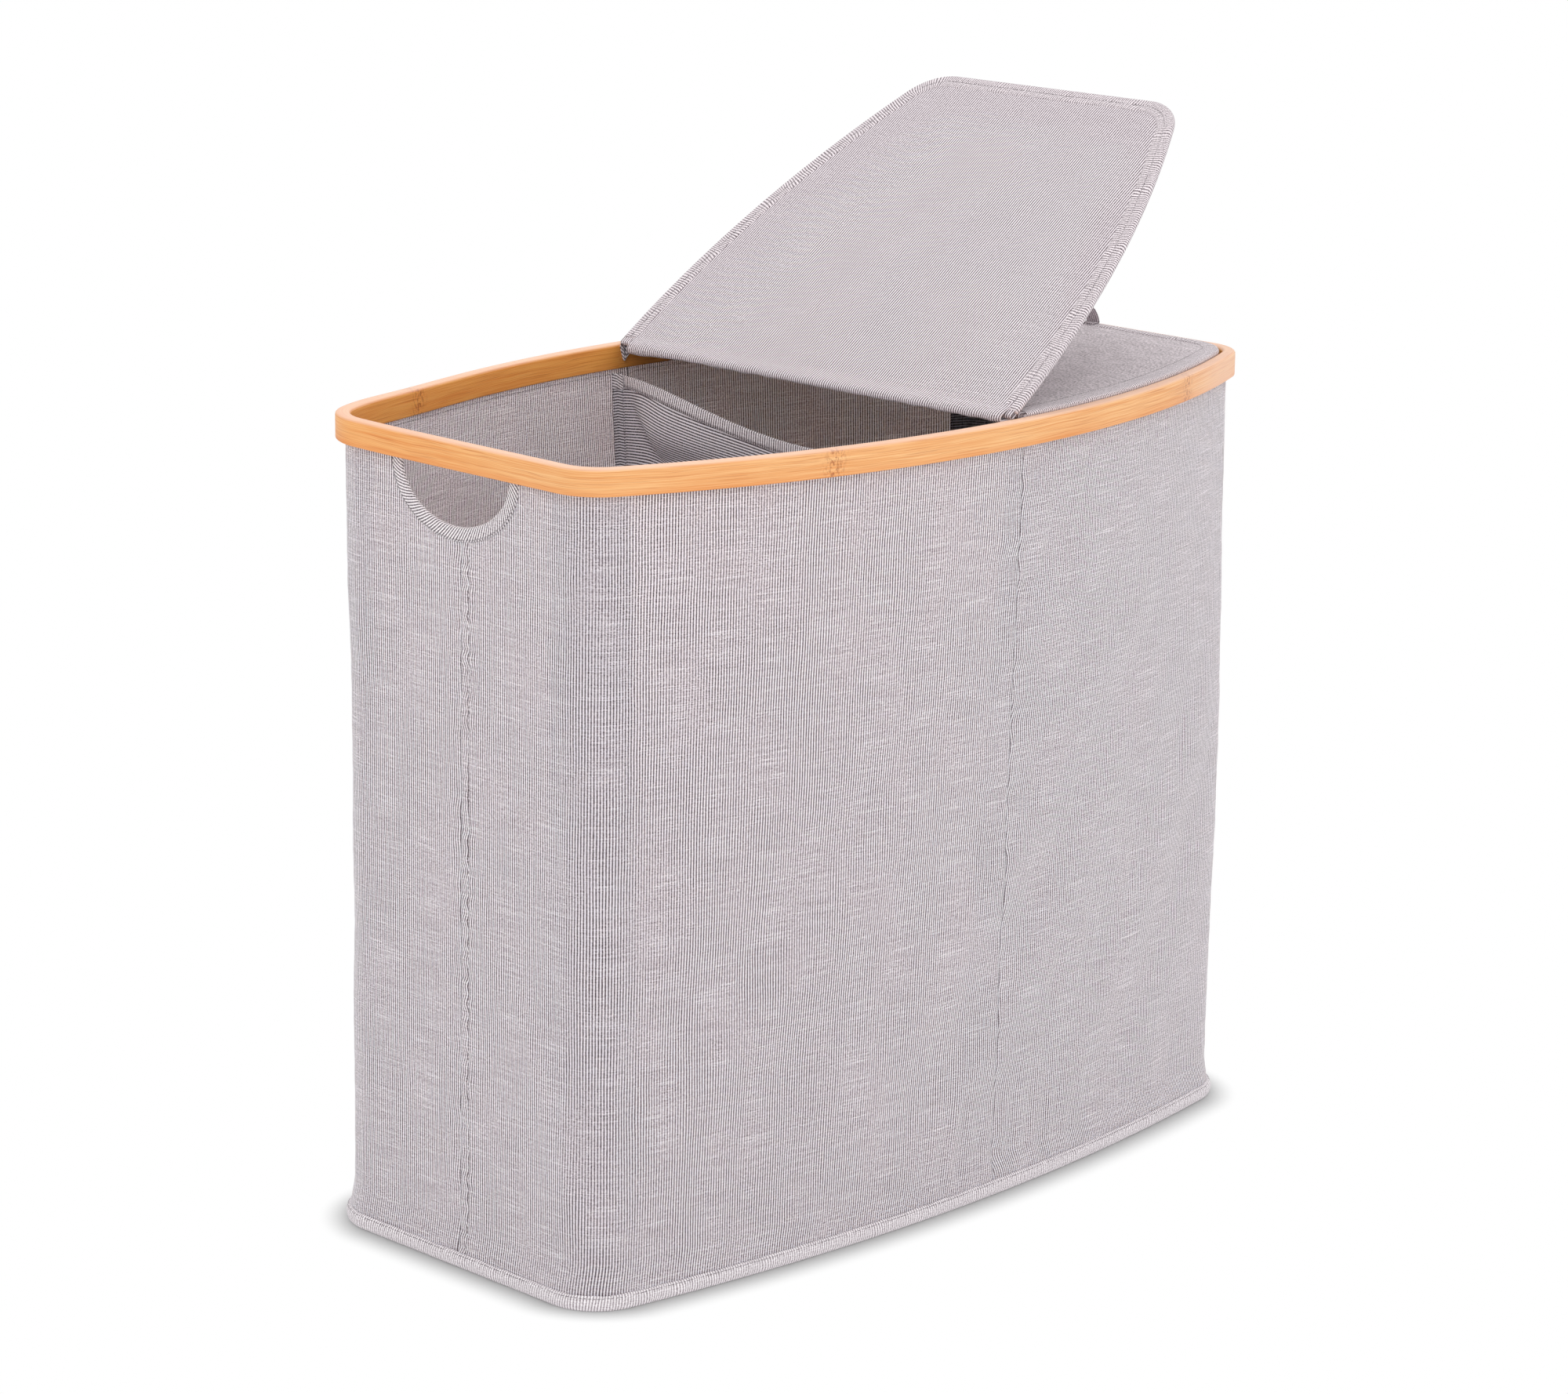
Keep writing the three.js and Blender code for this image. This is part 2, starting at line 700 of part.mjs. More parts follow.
// Each lid turns about a line beside its fold edge; the left one is folded back past upright
for (const [endName, fold] of ends) {
  const axisX = fold.signX * fold.axisOffset;
  piece(hamper, `base_board_${endName}`, baseBoard(fold.signX), 'board');
  piece(hamper, `hole_tape_${endName}`, holeTape(fold.signX), 'tape');
  const hinge = new THREE.Group();
  hinge.position.set(axisX, 0, lidMiddle + fold.axisRise);
  hinge.rotation.y = -fold.signX * fold.open;
  const lid = new THREE.Group();
  lid.position.set(-axisX, 0, -fold.axisRise);
  piece(lid, `lid_board_${endName}`, lidBoard(fold), 'board');
  piece(lid, `lid_under_cloth_${endName}`, lidUnderCloth(fold), 'striped');
  piece(lid, `lid_top_cloth_${endName}`, lidTopCloth(fold), 'heathered');
  piece(lid, `lid_binding_${endName}`, lidBinding(fold), 'tape');
  piece(lid, `pull_tab_${endName}`, lidTab(fold), 'tape');
  hinge.add(lid);
  hamper.add(hinge);
}

export default hamper;
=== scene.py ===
# Looks for a laundry hamper with two bins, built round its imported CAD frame
import math

import bpy
import numpy as np
from mathutils import Matrix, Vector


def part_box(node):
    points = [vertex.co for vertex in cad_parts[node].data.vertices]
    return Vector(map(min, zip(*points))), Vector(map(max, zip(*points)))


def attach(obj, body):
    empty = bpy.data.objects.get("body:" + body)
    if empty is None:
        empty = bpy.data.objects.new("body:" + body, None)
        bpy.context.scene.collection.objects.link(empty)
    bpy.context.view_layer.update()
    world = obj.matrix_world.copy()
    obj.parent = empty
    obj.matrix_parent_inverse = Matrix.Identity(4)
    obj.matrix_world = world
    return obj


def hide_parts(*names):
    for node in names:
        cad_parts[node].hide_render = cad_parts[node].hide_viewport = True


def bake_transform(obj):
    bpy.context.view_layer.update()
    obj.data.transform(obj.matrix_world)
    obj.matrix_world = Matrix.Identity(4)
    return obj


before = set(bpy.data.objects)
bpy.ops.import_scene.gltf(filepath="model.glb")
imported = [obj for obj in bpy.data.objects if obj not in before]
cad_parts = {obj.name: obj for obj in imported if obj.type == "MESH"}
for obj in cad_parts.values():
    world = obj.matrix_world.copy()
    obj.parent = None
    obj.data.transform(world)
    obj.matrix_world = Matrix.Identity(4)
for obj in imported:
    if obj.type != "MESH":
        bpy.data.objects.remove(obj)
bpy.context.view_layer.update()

print("stage: frame loaded")

mm = 0.001

# The places that the cloth and the rim share with the CAD, in metres
plan = {
    "rimTop": 0.580,
    "rimBottom": 0.5613,
    "rimShape": (0.3375, 0.203, 0.754, 0.038),      # half length, half width, side and corner radius
    "footShape": (0.339, 0.166, 1.720, 0.042),
    "wallInset": 0.0065,                            # cloth sits this far inside the rim's outer face
    "wallFoot": 0.0093,
    "footInset": 0.002,
    "pinchDepth": 0.0028,
    "pinchHeight": 0.024,
    "sideSeamTop": 0.010,
    "sideSeamFoot": 0.036,
    "holeHalfWidth": 0.054,
    "holeOff": 0.006,                               # its middle lies this far behind the end seam
    "holeDepth": 0.0400,
    "lidMiddle": 0.5804,
    "lidInset": 0.0095,
    "lidEnd": 0.3245,
    "lidCorner": 0.036,
    "foldLeft": 0.005,
    "foldRight": 0.0093,
    "axisLeft": (-0.0022, 0.5792),
    "openLeft": math.radians(144.4),
}


# Shapes in plan


# Where a side's circle passes into the corner's: the angle there and the corner's centre
def cornerOf(shape):
    halfLength, halfWidth, sideRadius, cornerRadius = shape
    reach = sideRadius - cornerRadius
    turn = np.arcsin((halfLength - cornerRadius) / reach)
    return turn, reach * np.sin(turn), halfWidth - sideRadius + reach * np.cos(turn)


# An outline is bowed sides, straight ends and round corners. q runs 0 to 1 along a side from
# x = start, 1 to 2 round the corner and 2 to 3 along the end to its middle.
def quarterPoint(shape, q, start=0.0):
    halfLength, halfWidth, sideRadius, cornerRadius = shape
    turn, centreX, centreY = cornerOf(shape)
    first = np.arcsin(start / sideRadius)
    sideAngle = first + (turn - first) * np.clip(q, 0, 1)
    cornerAngle = turn + (math.pi / 2 - turn) * np.clip(q - 1, 0, 1)
    endY = centreY - centreY * np.clip(q - 2, 0, 1)
    x = np.where(q <= 1, sideRadius * np.sin(sideAngle),
                 np.where(q <= 2, centreX + cornerRadius * np.sin(cornerAngle), halfLength))
    y = np.where(q <= 1, halfWidth - sideRadius * (1 - np.cos(sideAngle)),
                 np.where(q <= 2, centreY + cornerRadius * np.cos(cornerAngle), endY))
    return x, y


# Half width of an outline at a distance x from its middle: circle of the side, then of the corner
def halfWidthAt(shape, x):
    _, halfWidth, sideRadius, cornerRadius = shape
    turn, centreX, centreY = cornerOf(shape)
    touch = sideRadius * np.sin(turn)
    side = halfWidth - sideRadius + np.sqrt(sideRadius ** 2 - np.minimum(x, touch) ** 2)
    across = np.clip(x - centreX, 0, cornerRadius)
    corner = centreY + np.sqrt(np.clip(cornerRadius ** 2 - across ** 2, 0, None))
    return np.where(x <= touch, side, corner)


# The same outline moved inwards, which leaves the centres of its circles in place
def insetShape(shape, depth):
    return tuple(value - depth for value in shape)


# q over one quarter of an outline, with a number of steps for its side, corner and end
def quarterStations(sides, corners, ends):
    return np.concatenate([np.linspace(0, 1, sides, endpoint=False),
                           np.linspace(1, 2, corners, endpoint=False), np.linspace(2, 3, ends + 1)])


# Stations round a whole outline: q up and down the four quarters, with the signs of x and y
def loopStations(sides, corners, ends):
    up = quarterStations(sides, corners, ends)
    down = up[::-1]
    q = np.concatenate([up[:-1], down[:-1], up[:-1], down[:-1]])
    n = len(up) - 1
    signX = np.concatenate([np.ones(2 * n), -np.ones(2 * n)])
    signY = np.concatenate([np.ones(n), -np.ones(2 * n), np.ones(n)])
    return q, signX, signY


# Rises from 0 to 1 as t does, with level ends
def smooth(t):
    t = np.clip(t, 0, 1)
    return t * t * (3 - 2 * t)


# A wall point: the straight line between the same station of the foot and of the rim, at height z.
# The foot is drawn in above the hem, fully where pinch is 1.
def wallPoint(q, z, depth=0.0, top=0.0, foot=0.0, pinch=None):
    above = z - plan["wallFoot"]
    if pinch is None:
        pinch = smooth(above / plan["pinchHeight"])
    share = np.minimum(above / (plan["rimBottom"] - plan["wallFoot"]), 1)
    topX, topY = quarterPoint(insetShape(plan["rimShape"], plan["wallInset"] + depth), q, top)
    low = quarterPoint(insetShape(plan["footShape"], plan["footInset"] + depth), q, foot)
    drawnInset = plan["footInset"] + plan["pinchDepth"] + depth
    drawn = quarterPoint(insetShape(plan["footShape"], drawnInset), q, foot)
    footX = low[0] + (drawn[0] - low[0]) * pinch
    footY = low[1] + (drawn[1] - low[1]) * pinch
    return footX + (topX - footX) * share, footY + (topY - footY) * share


# A Gaussian hill, 1 at its centre
def bump(x, centre, width):
    return np.exp(-((x - centre) / width) ** 2)


# Smooth noise on a grid: a few sine waves of seeded direction and phase, summed
def softNoise(a, b, size, seed):
    waves = 7
    rng = np.random.default_rng(seed)
    total = np.zeros(np.broadcast(a, b).shape)
    for _ in range(waves):
        angle = rng.uniform(0, math.pi)
        stretch = rng.uniform(0.6, 1.7) / size
        phase = rng.uniform(0, 2 * math.pi)
        along = a * math.cos(angle) + b * math.sin(angle)
        total = total + np.sin(2 * math.pi * stretch * along + phase)
    return total / math.sqrt(waves)


# Meshes


# Coordinates of shapes that fit together, spread over one grid with the coordinates last
def gridOf(*parts):
    return np.stack(np.broadcast_arrays(*parts), axis=-1)


# A new object in the scene, at the origin
def link(name, data):
    made = bpy.data.objects.new(name, data)
    bpy.context.scene.collection.objects.link(made)
    return made


# A mesh from vertices and quads held in arrays, with a UV for each vertex in metres
def meshPiece(name, points, quads, uv, material, attributes=None):
    mesh = bpy.data.meshes.new(name)
    mesh.vertices.add(len(points))
    mesh.vertices.foreach_set("co", np.asarray(points, dtype=np.float32).ravel())
    mesh.loops.add(quads.size)
    mesh.loops.foreach_set("vertex_index", quads.ravel().astype(np.int32))
    mesh.polygons.add(len(quads))
    mesh.polygons.foreach_set("loop_start", np.arange(0, quads.size, 4, dtype=np.int32))
    mesh.polygons.foreach_set("use_smooth", np.ones(len(quads), dtype=bool))
    layer = mesh.uv_layers.new(name="cloth")
    layer.data.foreach_set("uv", np.asarray(uv, dtype=np.float32)[quads.ravel()].ravel())
    for key, values in (attributes or {}).items():
        field = mesh.attributes.new(key, "FLOAT", "POINT")
        field.data.foreach_set("value", np.asarray(values, dtype=np.float32).ravel())
    mesh.update(calc_edges=True)
    mesh.validate()
    mesh.materials.append(material)
    return link(name, mesh)


# The quads of a closed mesh, turned round if its volume by the divergence theorem is negative, so
# that its faces look outwards
def facingOut(points, quads):
    a, b, c, d = (points[quads[:, k]] for k in range(4))
    volume = np.einsum("ij,ij->i", a, np.cross(b, c)) + np.einsum("ij,ij->i", a, np.cross(c, d))
    return quads[:, ::-1] if volume.sum() < 0 else quads


# Quads between the neighbours of a grid, and where asked from its last column back to its first
def gridQuads(rows, columns, closeColumns=False):
    i, j = np.meshgrid(np.arange(rows - 1), np.arange(columns if closeColumns else columns - 1),
                       indexing="ij")
    here, below = i * columns, (i + 1) * columns
    after = (j + 1) % columns
    return np.stack([here + j, below + j, below + after, here + after], axis=-1).reshape(-1, 4)


# A cloth with thickness: an outer and an inner grid of points, sewn together along the border
def clothShell(name, outer, inner, uv, material):
    rows, columns = outer.shape[:2]
    points = np.concatenate([outer.reshape(-1, 3), inner.reshape(-1, 3)])
    front = gridQuads(rows, columns)
    back = front[:, ::-1] + rows * columns
    index = np.arange(rows * columns).reshape(rows, columns)
    border = np.concatenate([index[:, 0], index[-1, 1:], index[-2::-1, -1], index[0, -2:0:-1]])
    after = np.roll(border, -1)
    sides = np.stack([after, border, border + rows * columns, after + rows * columns], axis=-1)
    quads = facingOut(points, np.concatenate([front, back, sides]))
    return meshPiece(name, points, quads, np.concatenate([uv.reshape(-1, 2)] * 2), material)


# A closed section carried along a path: grid of path stations by section points. An open path has
# its two ends closed by quads that zip the section's two halves together. On a loop the last
# station repeats the first, and a weld joins them.
def sectionSweep(name, grid, uv, material, loop=False, attributes=None):
    rows, columns = grid.shape[:2]
    quads = gridQuads(rows, columns, closeColumns=True)
    if not loop:
        half = np.arange(columns // 2 - 1)
        other = columns - 1 - half
        first = np.stack([half, half + 1, other - 1, other], axis=-1)
        quads = np.concatenate([quads, first, first[:, ::-1] + (rows - 1) * columns])
    points = grid.reshape(-1, 3)
    piece = meshPiece(name, points, facingOut(points, quads), uv.reshape(-1, 2), material, attributes)
    if loop:
        piece.modifiers.new("weld", "WELD").merge_threshold = 0.01 * mm
    return piece


# A piece rides on a body and stands for a CAD node, which it hides
def seat(piece, node, body="hamper"):
    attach(piece, body)
    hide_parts(node)


# Length along one axis of a grid of points, from its first row or column
def lengthAlong(points, axis=0):
    step = np.linalg.norm(np.diff(points, axis=axis), axis=-1)
    start = np.zeros_like(np.take(step, [0], axis=axis))
    return np.concatenate([start, np.cumsum(step, axis=axis)], axis=axis)


# Vectors of any length brought to length 1
def unit(vectors):
    return vectors / np.maximum(np.linalg.norm(vectors, axis=-1, keepdims=True), 1e-9)


# Stitches: short rounded threads laid along a path at even steps, each a small six-sided bead
# whose radius follows the root of a half sine from end to end
def stitchRow(name, path, normal, body="hamper", pitch=3.2 * mm, length=2.5 * mm, radius=0.28 * mm):
    rings, sides, flatness = 5, 6, 0.8
    run = lengthAlong(path)
    count = max(int(run[-1] / pitch), 2)
    at = (np.arange(count) + 0.5) * run[-1] / count

    def sampled(values, where):
        return np.stack([np.interp(where, run, values[:, k]) for k in range(3)], axis=-1)

    centre = sampled(path, at)
    along = unit(sampled(path, at + 0.2 * pitch) - sampled(path, at - 0.2 * pitch))
    side = unit(np.cross(along, unit(sampled(normal, at))))
    up = np.cross(side, along)
    t = np.linspace(0, 1, rings)
    ringRadius = radius * np.sqrt(np.clip(np.sin(math.pi * (0.06 + 0.88 * t)), 0, 1))
    angle = np.arange(sides) * 2 * math.pi / sides
    wide = (ringRadius[:, None] * np.cos(angle))[None, :, :, None]
    high = (ringRadius[:, None] * np.sin(angle) * flatness)[None, :, :, None]
    offset = (along[:, None, None] * ((t - 0.5) * length)[None, :, None, None]
              + side[:, None, None] * wide + up[:, None, None] * high)
    points = (centre[:, None, None] + offset).reshape(-1, 3)
    caps = np.array([[0, 1, 2, 3], [3, 4, 5, 0], [27, 26, 25, 24], [24, 29, 28, 27]])     # a bead's two ends
    bead = facingOut(points, np.concatenate([gridQuads(rings, sides, closeColumns=True), caps]))
    quads = (bead[None] + (np.arange(count) * rings * sides)[:, None, None]).reshape(-1, 4)
    uv = np.tile(gridOf((t * length)[:, None], (angle * radius)[None]).reshape(-1, 2), (count, 1))
    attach(meshPiece(name, points, quads, uv, threadMaterial), body)


# Materials


# A node with its settings, and for each input a value or the socket that feeds it
def addNode(tree, kind, inputs=None, **settings):
    made = tree.nodes.new(kind)
    for key, value in settings.items():
        setattr(made, key, value)
    for key, value in (inputs or {}).items():
        if isinstance(value, bpy.types.NodeSocket):
            tree.links.new(value, made.inputs[key])
        else:
            made.inputs[key].default_value = value
    return made


# One step of arithmetic
def compute(tree, operation, a, b=0.0, c=0.0, clamp=False):
    return addNode(tree, "ShaderNodeMath", {0: a, 1: b, 2: c}, operation=operation,
                   use_clamp=clamp).outputs[0]


# Brings low and high to outLow and outHigh, smoothly in between
def remap(tree, value, low, high, outLow=0.0, outHigh=1.0):
    return addNode(tree, "ShaderNodeMapRange", {"Value": value, "From Min": low, "From Max": high,
                   "To Min": outLow, "To Max": outHigh}, interpolation_type="SMOOTHSTEP").outputs[0]


# Goes from colour a to b by a factor, or lays b over a in another blend mode
def mixColor(tree, factor, a, b, blend="MIX"):
    return addNode(tree, "ShaderNodeMix", {0: factor, 6: a, 7: b}, data_type="RGBA",
                   blend_type=blend).outputs[2]


# Noise with x, y and z of its spots in a metre
def noiseAt(tree, vector, x, y, detail=2.0, roughness=0.5, z=1.0):
    spots = addNode(tree, "ShaderNodeMapping", {"Vector": vector, "Scale": (x, y, z)}).outputs[0]
    return addNode(tree, "ShaderNodeTexNoise", {"Vector": spots, "Scale": 1.0, "Detail": detail,
                   "Roughness": roughness}).outputs["Fac"]


# A colour as it is seen on a screen, 0 to 255, made linear
def shade(red, green, blue):
    def linear(value):
        value = value / 255
        return value / 12.92 if value <= 0.04045 else ((value + 0.055) / 1.055) ** 2.4
    return (linear(red), linear(green), linear(blue), 1.0)


# A shader node group with its sockets, and its input and output nodes
def newGroup(name, inputs, outputs):
    group = bpy.data.node_groups.new(name, "ShaderNodeTree")
    for label, kind, value in inputs:
        socket = group.interface.new_socket(label, in_out="INPUT", socket_type=kind)
        if value is not None:
            socket.default_value = value
    for label, kind in outputs:
        group.interface.new_socket(label, in_out="OUTPUT", socket_type=kind)
    return group, addNode(group, "NodeGroupInput"), addNode(group, "NodeGroupOutput")


# What each weave or grain gives to the material that it is placed in
weaveOutputs = [("Color", "NodeSocketColor"), ("Height", "NodeSocketFloat"),
                ("Rough", "NodeSocketFloat")]


# How strongly each part of the pattern counts, and the length of a dash
weaveLook = {"dash": 0.0016, "gap": 0.30, "yarn": 0.8, "hair": 0.8, "slub": 0.20, "weft": 0.50,
             "level": 0.46, "relief": 0.7}


# Striped weave. The vector's x runs across the stripes and its y along them, in metres. A sine of
# x gives light and dark yarns, a quicker sine of y cuts the dark ones into dashes, noise stretched
# across them gives thin light slubs, fine noise the hairs, and wide soft noise makes the stripes
# fade and return. Their weighted sum is the share of the light yarn's colour.
def makeStripedWeave():
    group, source, sink = newGroup("stripedWeave", [
        ("Vector", "NodeSocketVector", None), ("Period", "NodeSocketFloat", 0.0021),
        ("Light", "NodeSocketColor", shade(252, 243, 247)),
        ("Dark", "NodeSocketColor", shade(86, 70, 77)),
        ("Contrast", "NodeSocketFloat", 1.0), ("Slubs", "NodeSocketFloat", 1.0),
        ("Fade", "NodeSocketFloat", 0.5),
    ], weaveOutputs)
    vector = source.outputs["Vector"]
    split = addNode(group, "ShaderNodeSeparateXYZ", {0: vector})

    def wave(turns, low, high):
        angle = compute(group, "MULTIPLY", turns, 2 * math.pi)
        return remap(group, compute(group, "SINE", angle), low, high)

    def rest(value):
        return compute(group, "SUBTRACT", 1.0, value)

    def centred(value):
        return compute(group, "SUBTRACT", value, 0.5)

    across = compute(group, "DIVIDE", split.outputs[0], source.outputs["Period"])
    wobble = noiseAt(group, vector, 30, 10)
    stripe = wave(compute(group, "MULTIPLY_ADD", wobble, 0.9, across), -0.7, 0.6)
    uneven = noiseAt(group, vector, 330, 210)
    dashes = compute(group, "DIVIDE", split.outputs[1], weaveLook["dash"])
    dash = wave(compute(group, "MULTIPLY_ADD", uneven, 2.6, dashes), -0.9, 0.2)
    gap = compute(group, "MULTIPLY", rest(dash), rest(stripe))
    yarn = noiseAt(group, vector, 480, 620, roughness=0.6)
    hair = noiseAt(group, vector, 1300, 1300, detail=1.0)
    weft = noiseAt(group, vector, 24, 1300, 3.0, 0.55)
    slub = remap(group, weft, 0.56, 0.68)
    fade = noiseAt(group, vector, 26, 13, 3.0, 0.6)
    keep = compute(group, "MULTIPLY_ADD", remap(group, fade, 0.3, 0.6), source.outputs["Fade"],
                   rest(source.outputs["Fade"]))
    keep = compute(group, "MULTIPLY", keep, source.outputs["Contrast"])
    total = compute(group, "MULTIPLY", centred(stripe), keep)
    total = compute(group, "MULTIPLY_ADD", gap, weaveLook["gap"], total)
    total = compute(group, "MULTIPLY_ADD", centred(yarn), weaveLook["yarn"], total)
    total = compute(group, "MULTIPLY_ADD", centred(hair), weaveLook["hair"], total)
    threads = compute(group, "MULTIPLY", centred(weft), weaveLook["weft"])
    threads = compute(group, "MULTIPLY_ADD", slub, weaveLook["slub"], threads)
    total = compute(group, "MULTIPLY_ADD", threads, source.outputs["Slubs"], total)
    level = compute(group, "ADD", total, weaveLook["level"], clamp=True)
    height = compute(group, "MULTIPLY_ADD", slub, 0.35, compute(group, "MULTIPLY_ADD", gap, 0.3, stripe))
    color = mixColor(group, level, source.outputs["Dark"], source.outputs["Light"])
    for name, value in (("Color", color),
                        ("Height", compute(group, "MULTIPLY", height, weaveLook["relief"])),
                        ("Rough", remap(group, yarn, 0.2, 0.8, 0.82, 0.97))):
        group.links.new(value, sink.inputs[name])
    return group


heatherLook = {"fine": 0.72, "slub": 0.32, "wide": 0.12}


# Heathered weave: fine speckle stretched a little along the cloth, thin slubs across it and soft
# patches, brought to a mask between the light and the dark yarn
def makeHeather():
    group, source, sink = newGroup("heatheredWeave", [
        ("Vector", "NodeSocketVector", None), ("Light", "NodeSocketColor", shade(236, 226, 230)),
        ("Dark", "NodeSocketColor", shade(122, 110, 115)),
    ], weaveOutputs)
    vector = source.outputs["Vector"]
    fine = noiseAt(group, vector, 700, 420, roughness=0.7)
    slub = noiseAt(group, vector, 60, 1100, roughness=0.6)
    wide = noiseAt(group, vector, 60, 60, 3.0, 0.6)
    mixed = compute(group, "MULTIPLY", fine, heatherLook["fine"])
    mixed = compute(group, "MULTIPLY_ADD", wide, heatherLook["wide"], mixed)
    mixed = compute(group, "MULTIPLY_ADD", slub, heatherLook["slub"], mixed)
    level = remap(group, mixed, 0.40, 0.74)
    color = mixColor(group, level, source.outputs["Dark"], source.outputs["Light"])
    for name, value in (("Color", color), ("Height", fine),
                        ("Rough", remap(group, fine, 0.2, 0.8, 0.85, 0.98))):
        group.links.new(value, sink.inputs[name])
    return group


grainLook = {
    "fibre": 0.85, "streak": 0.35, "patch": 0.2, "sway": 0.0022,
    "line": (0.50, shade(196, 116, 58)),          # strength and colour
    "low": (0.42, shade(228, 132, 56)),
    "lowReach": 0.0075,
    "tick": (0.85, shade(172, 96, 48)),
    # inside is the colour multiplied in as painted shade, crown the strength and colour of a painted
    # highlight
    "inside": shade(255, 232, 174),
    "crown": (0.55, shade(240, 206, 190)),
}


# Bamboo grain. x runs along the band and y round it from the lower outer edge. Long fibres are
# noise stretched hard along x, broader streaks vary the tone, thin dark lines come and go, and the
# lower edge is warmer. Knot brings up zigzag ticks across a node, Inside multiplies in painted
# shade and Crown lays on a painted highlight.
def makeBambooGrain():
    group, source, sink = newGroup("bambooGrain", [
        ("Vector", "NodeSocketVector", None), ("Pale", "NodeSocketColor", shade(246, 195, 136)),
        ("Deep", "NodeSocketColor", shade(227, 150, 82)), ("Knot", "NodeSocketFloat", 0.0),
        ("Crown", "NodeSocketFloat", 0.0), ("Inside", "NodeSocketFloat", 0.0),
    ], weaveOutputs)
    vector = source.outputs["Vector"]
    split = addNode(group, "ShaderNodeSeparateXYZ", {0: vector})
    sway = compute(group, "SUBTRACT", noiseAt(group, vector, 22, 60), 0.5)
    bent = compute(group, "MULTIPLY_ADD", sway, grainLook["sway"], split.outputs[1])
    bent = addNode(group, "ShaderNodeCombineXYZ", {0: split.outputs[0], 1: bent}).outputs[0]
    fibre = noiseAt(group, bent, 14, 1900, 3.0, 0.6)
    streak = noiseAt(group, bent, 5, 420, 3.0, 0.55)
    patch = noiseAt(group, vector, 9, 30)
    dark = noiseAt(group, bent, 20, 1500)
    tick = noiseAt(group, vector, 460, 240, 3.0, 0.7)
    level = compute(group, "MULTIPLY", streak, grainLook["streak"])
    level = compute(group, "MULTIPLY_ADD", fibre, grainLook["fibre"], level)
    level = remap(group, compute(group, "MULTIPLY_ADD", patch, grainLook["patch"], level), 0.48, 0.92)
    color = mixColor(group, level, source.outputs["Deep"], source.outputs["Pale"])

    def toned(color, mask, look):
        strength, tone = grainLook[look]
        amount = compute(group, "MULTIPLY", mask, strength)
        return mixColor(group, amount, color, tone), amount

    color, line = toned(color, remap(group, dark, 0.55, 0.66), "line")
    lowMask = remap(group, split.outputs[1], 0.0, grainLook["lowReach"], 1.0, 0.0)
    color, _ = toned(color, lowMask, "low")
    tickMask = compute(group, "MULTIPLY", remap(group, tick, 0.48, 0.58), source.outputs["Knot"])
    color, _ = toned(color, tickMask, "tick")
    # Inside multiplies in painted shade
    color = mixColor(group, source.outputs["Inside"], color, grainLook["inside"], "MULTIPLY")
    # Crown lays on a painted highlight
    color, _ = toned(color, source.outputs["Crown"], "crown")
    height = compute(group, "SUBTRACT", fibre, compute(group, "MULTIPLY", tickMask, 0.8))
    height = compute(group, "SUBTRACT", height, compute(group, "MULTIPLY", line, 0.5))
    for name, value in (("Color", color), ("Height", height),
                        ("Rough", remap(group, fibre, 0.25, 0.75, 0.50, 0.36))):
        group.links.new(value, sink.inputs[name])
    return group


stripedWeave = makeStripedWeave()
heatheredWeave = makeHeather()
bambooGrain = makeBambooGrain()


# A material with its node tree and its Principled shader
def startMaterial(name):
    material = bpy.data.materials.new(name)
    material.use_nodes = True
    tree = material.node_tree
    shader = tree.nodes["Principled BSDF"]
    return material, tree, shader


# Places a group in a material: its vector is the piece's UV, or Object coordinates on a CAD node,
# turned by a Mapping node. A name in masks is a point attribute of the piece that feeds the
# group's input of that name, and values go to its other inputs.
# Thin cloth lets some light through, which subsurface gives it.
def dressedWith(name, group, values, turn=0.0, depth=0.25 * mm, sheen=0.25, specular=0.25, masks=(),
                objectCoords=False, through=0.0):
    material, tree, shader = startMaterial(name)
    if objectCoords:
        base = addNode(tree, "ShaderNodeTexCoord").outputs["Object"]
    else:
        base = addNode(tree, "ShaderNodeUVMap", uv_map="cloth").outputs[0]
    vector = addNode(tree, "ShaderNodeMapping", {"Vector": base, "Rotation": (0, 0, turn)}).outputs[0]
    placed = addNode(tree, "ShaderNodeGroup", node_tree=group)
    tree.links.new(vector, placed.inputs["Vector"])
    for key, value in values.items():
        placed.inputs[key].default_value = value
    for label in masks:
        mask = addNode(tree, "ShaderNodeAttribute", attribute_name=label.lower()).outputs["Fac"]
        tree.links.new(mask, placed.inputs[label])
    tree.links.new(placed.outputs["Color"], shader.inputs["Base Color"])
    tree.links.new(placed.outputs["Rough"], shader.inputs["Roughness"])
    relief = addNode(tree, "ShaderNodeBump", {"Strength": 0.6, "Distance": depth,
                     "Height": placed.outputs["Height"]})
    tree.links.new(relief.outputs[0], shader.inputs["Normal"])
    shader.inputs["Sheen Weight"].default_value = sheen
    shader.inputs["Sheen Roughness"].default_value = 0.5
    shader.inputs["Specular IOR Level"].default_value = specular
    if through:
        shader.inputs["Subsurface Weight"].default_value = through
        shader.inputs["Subsurface Radius"].default_value = (1.0, 0.9, 0.8)
        shader.inputs["Subsurface Scale"].default_value = 4 * mm
    return material


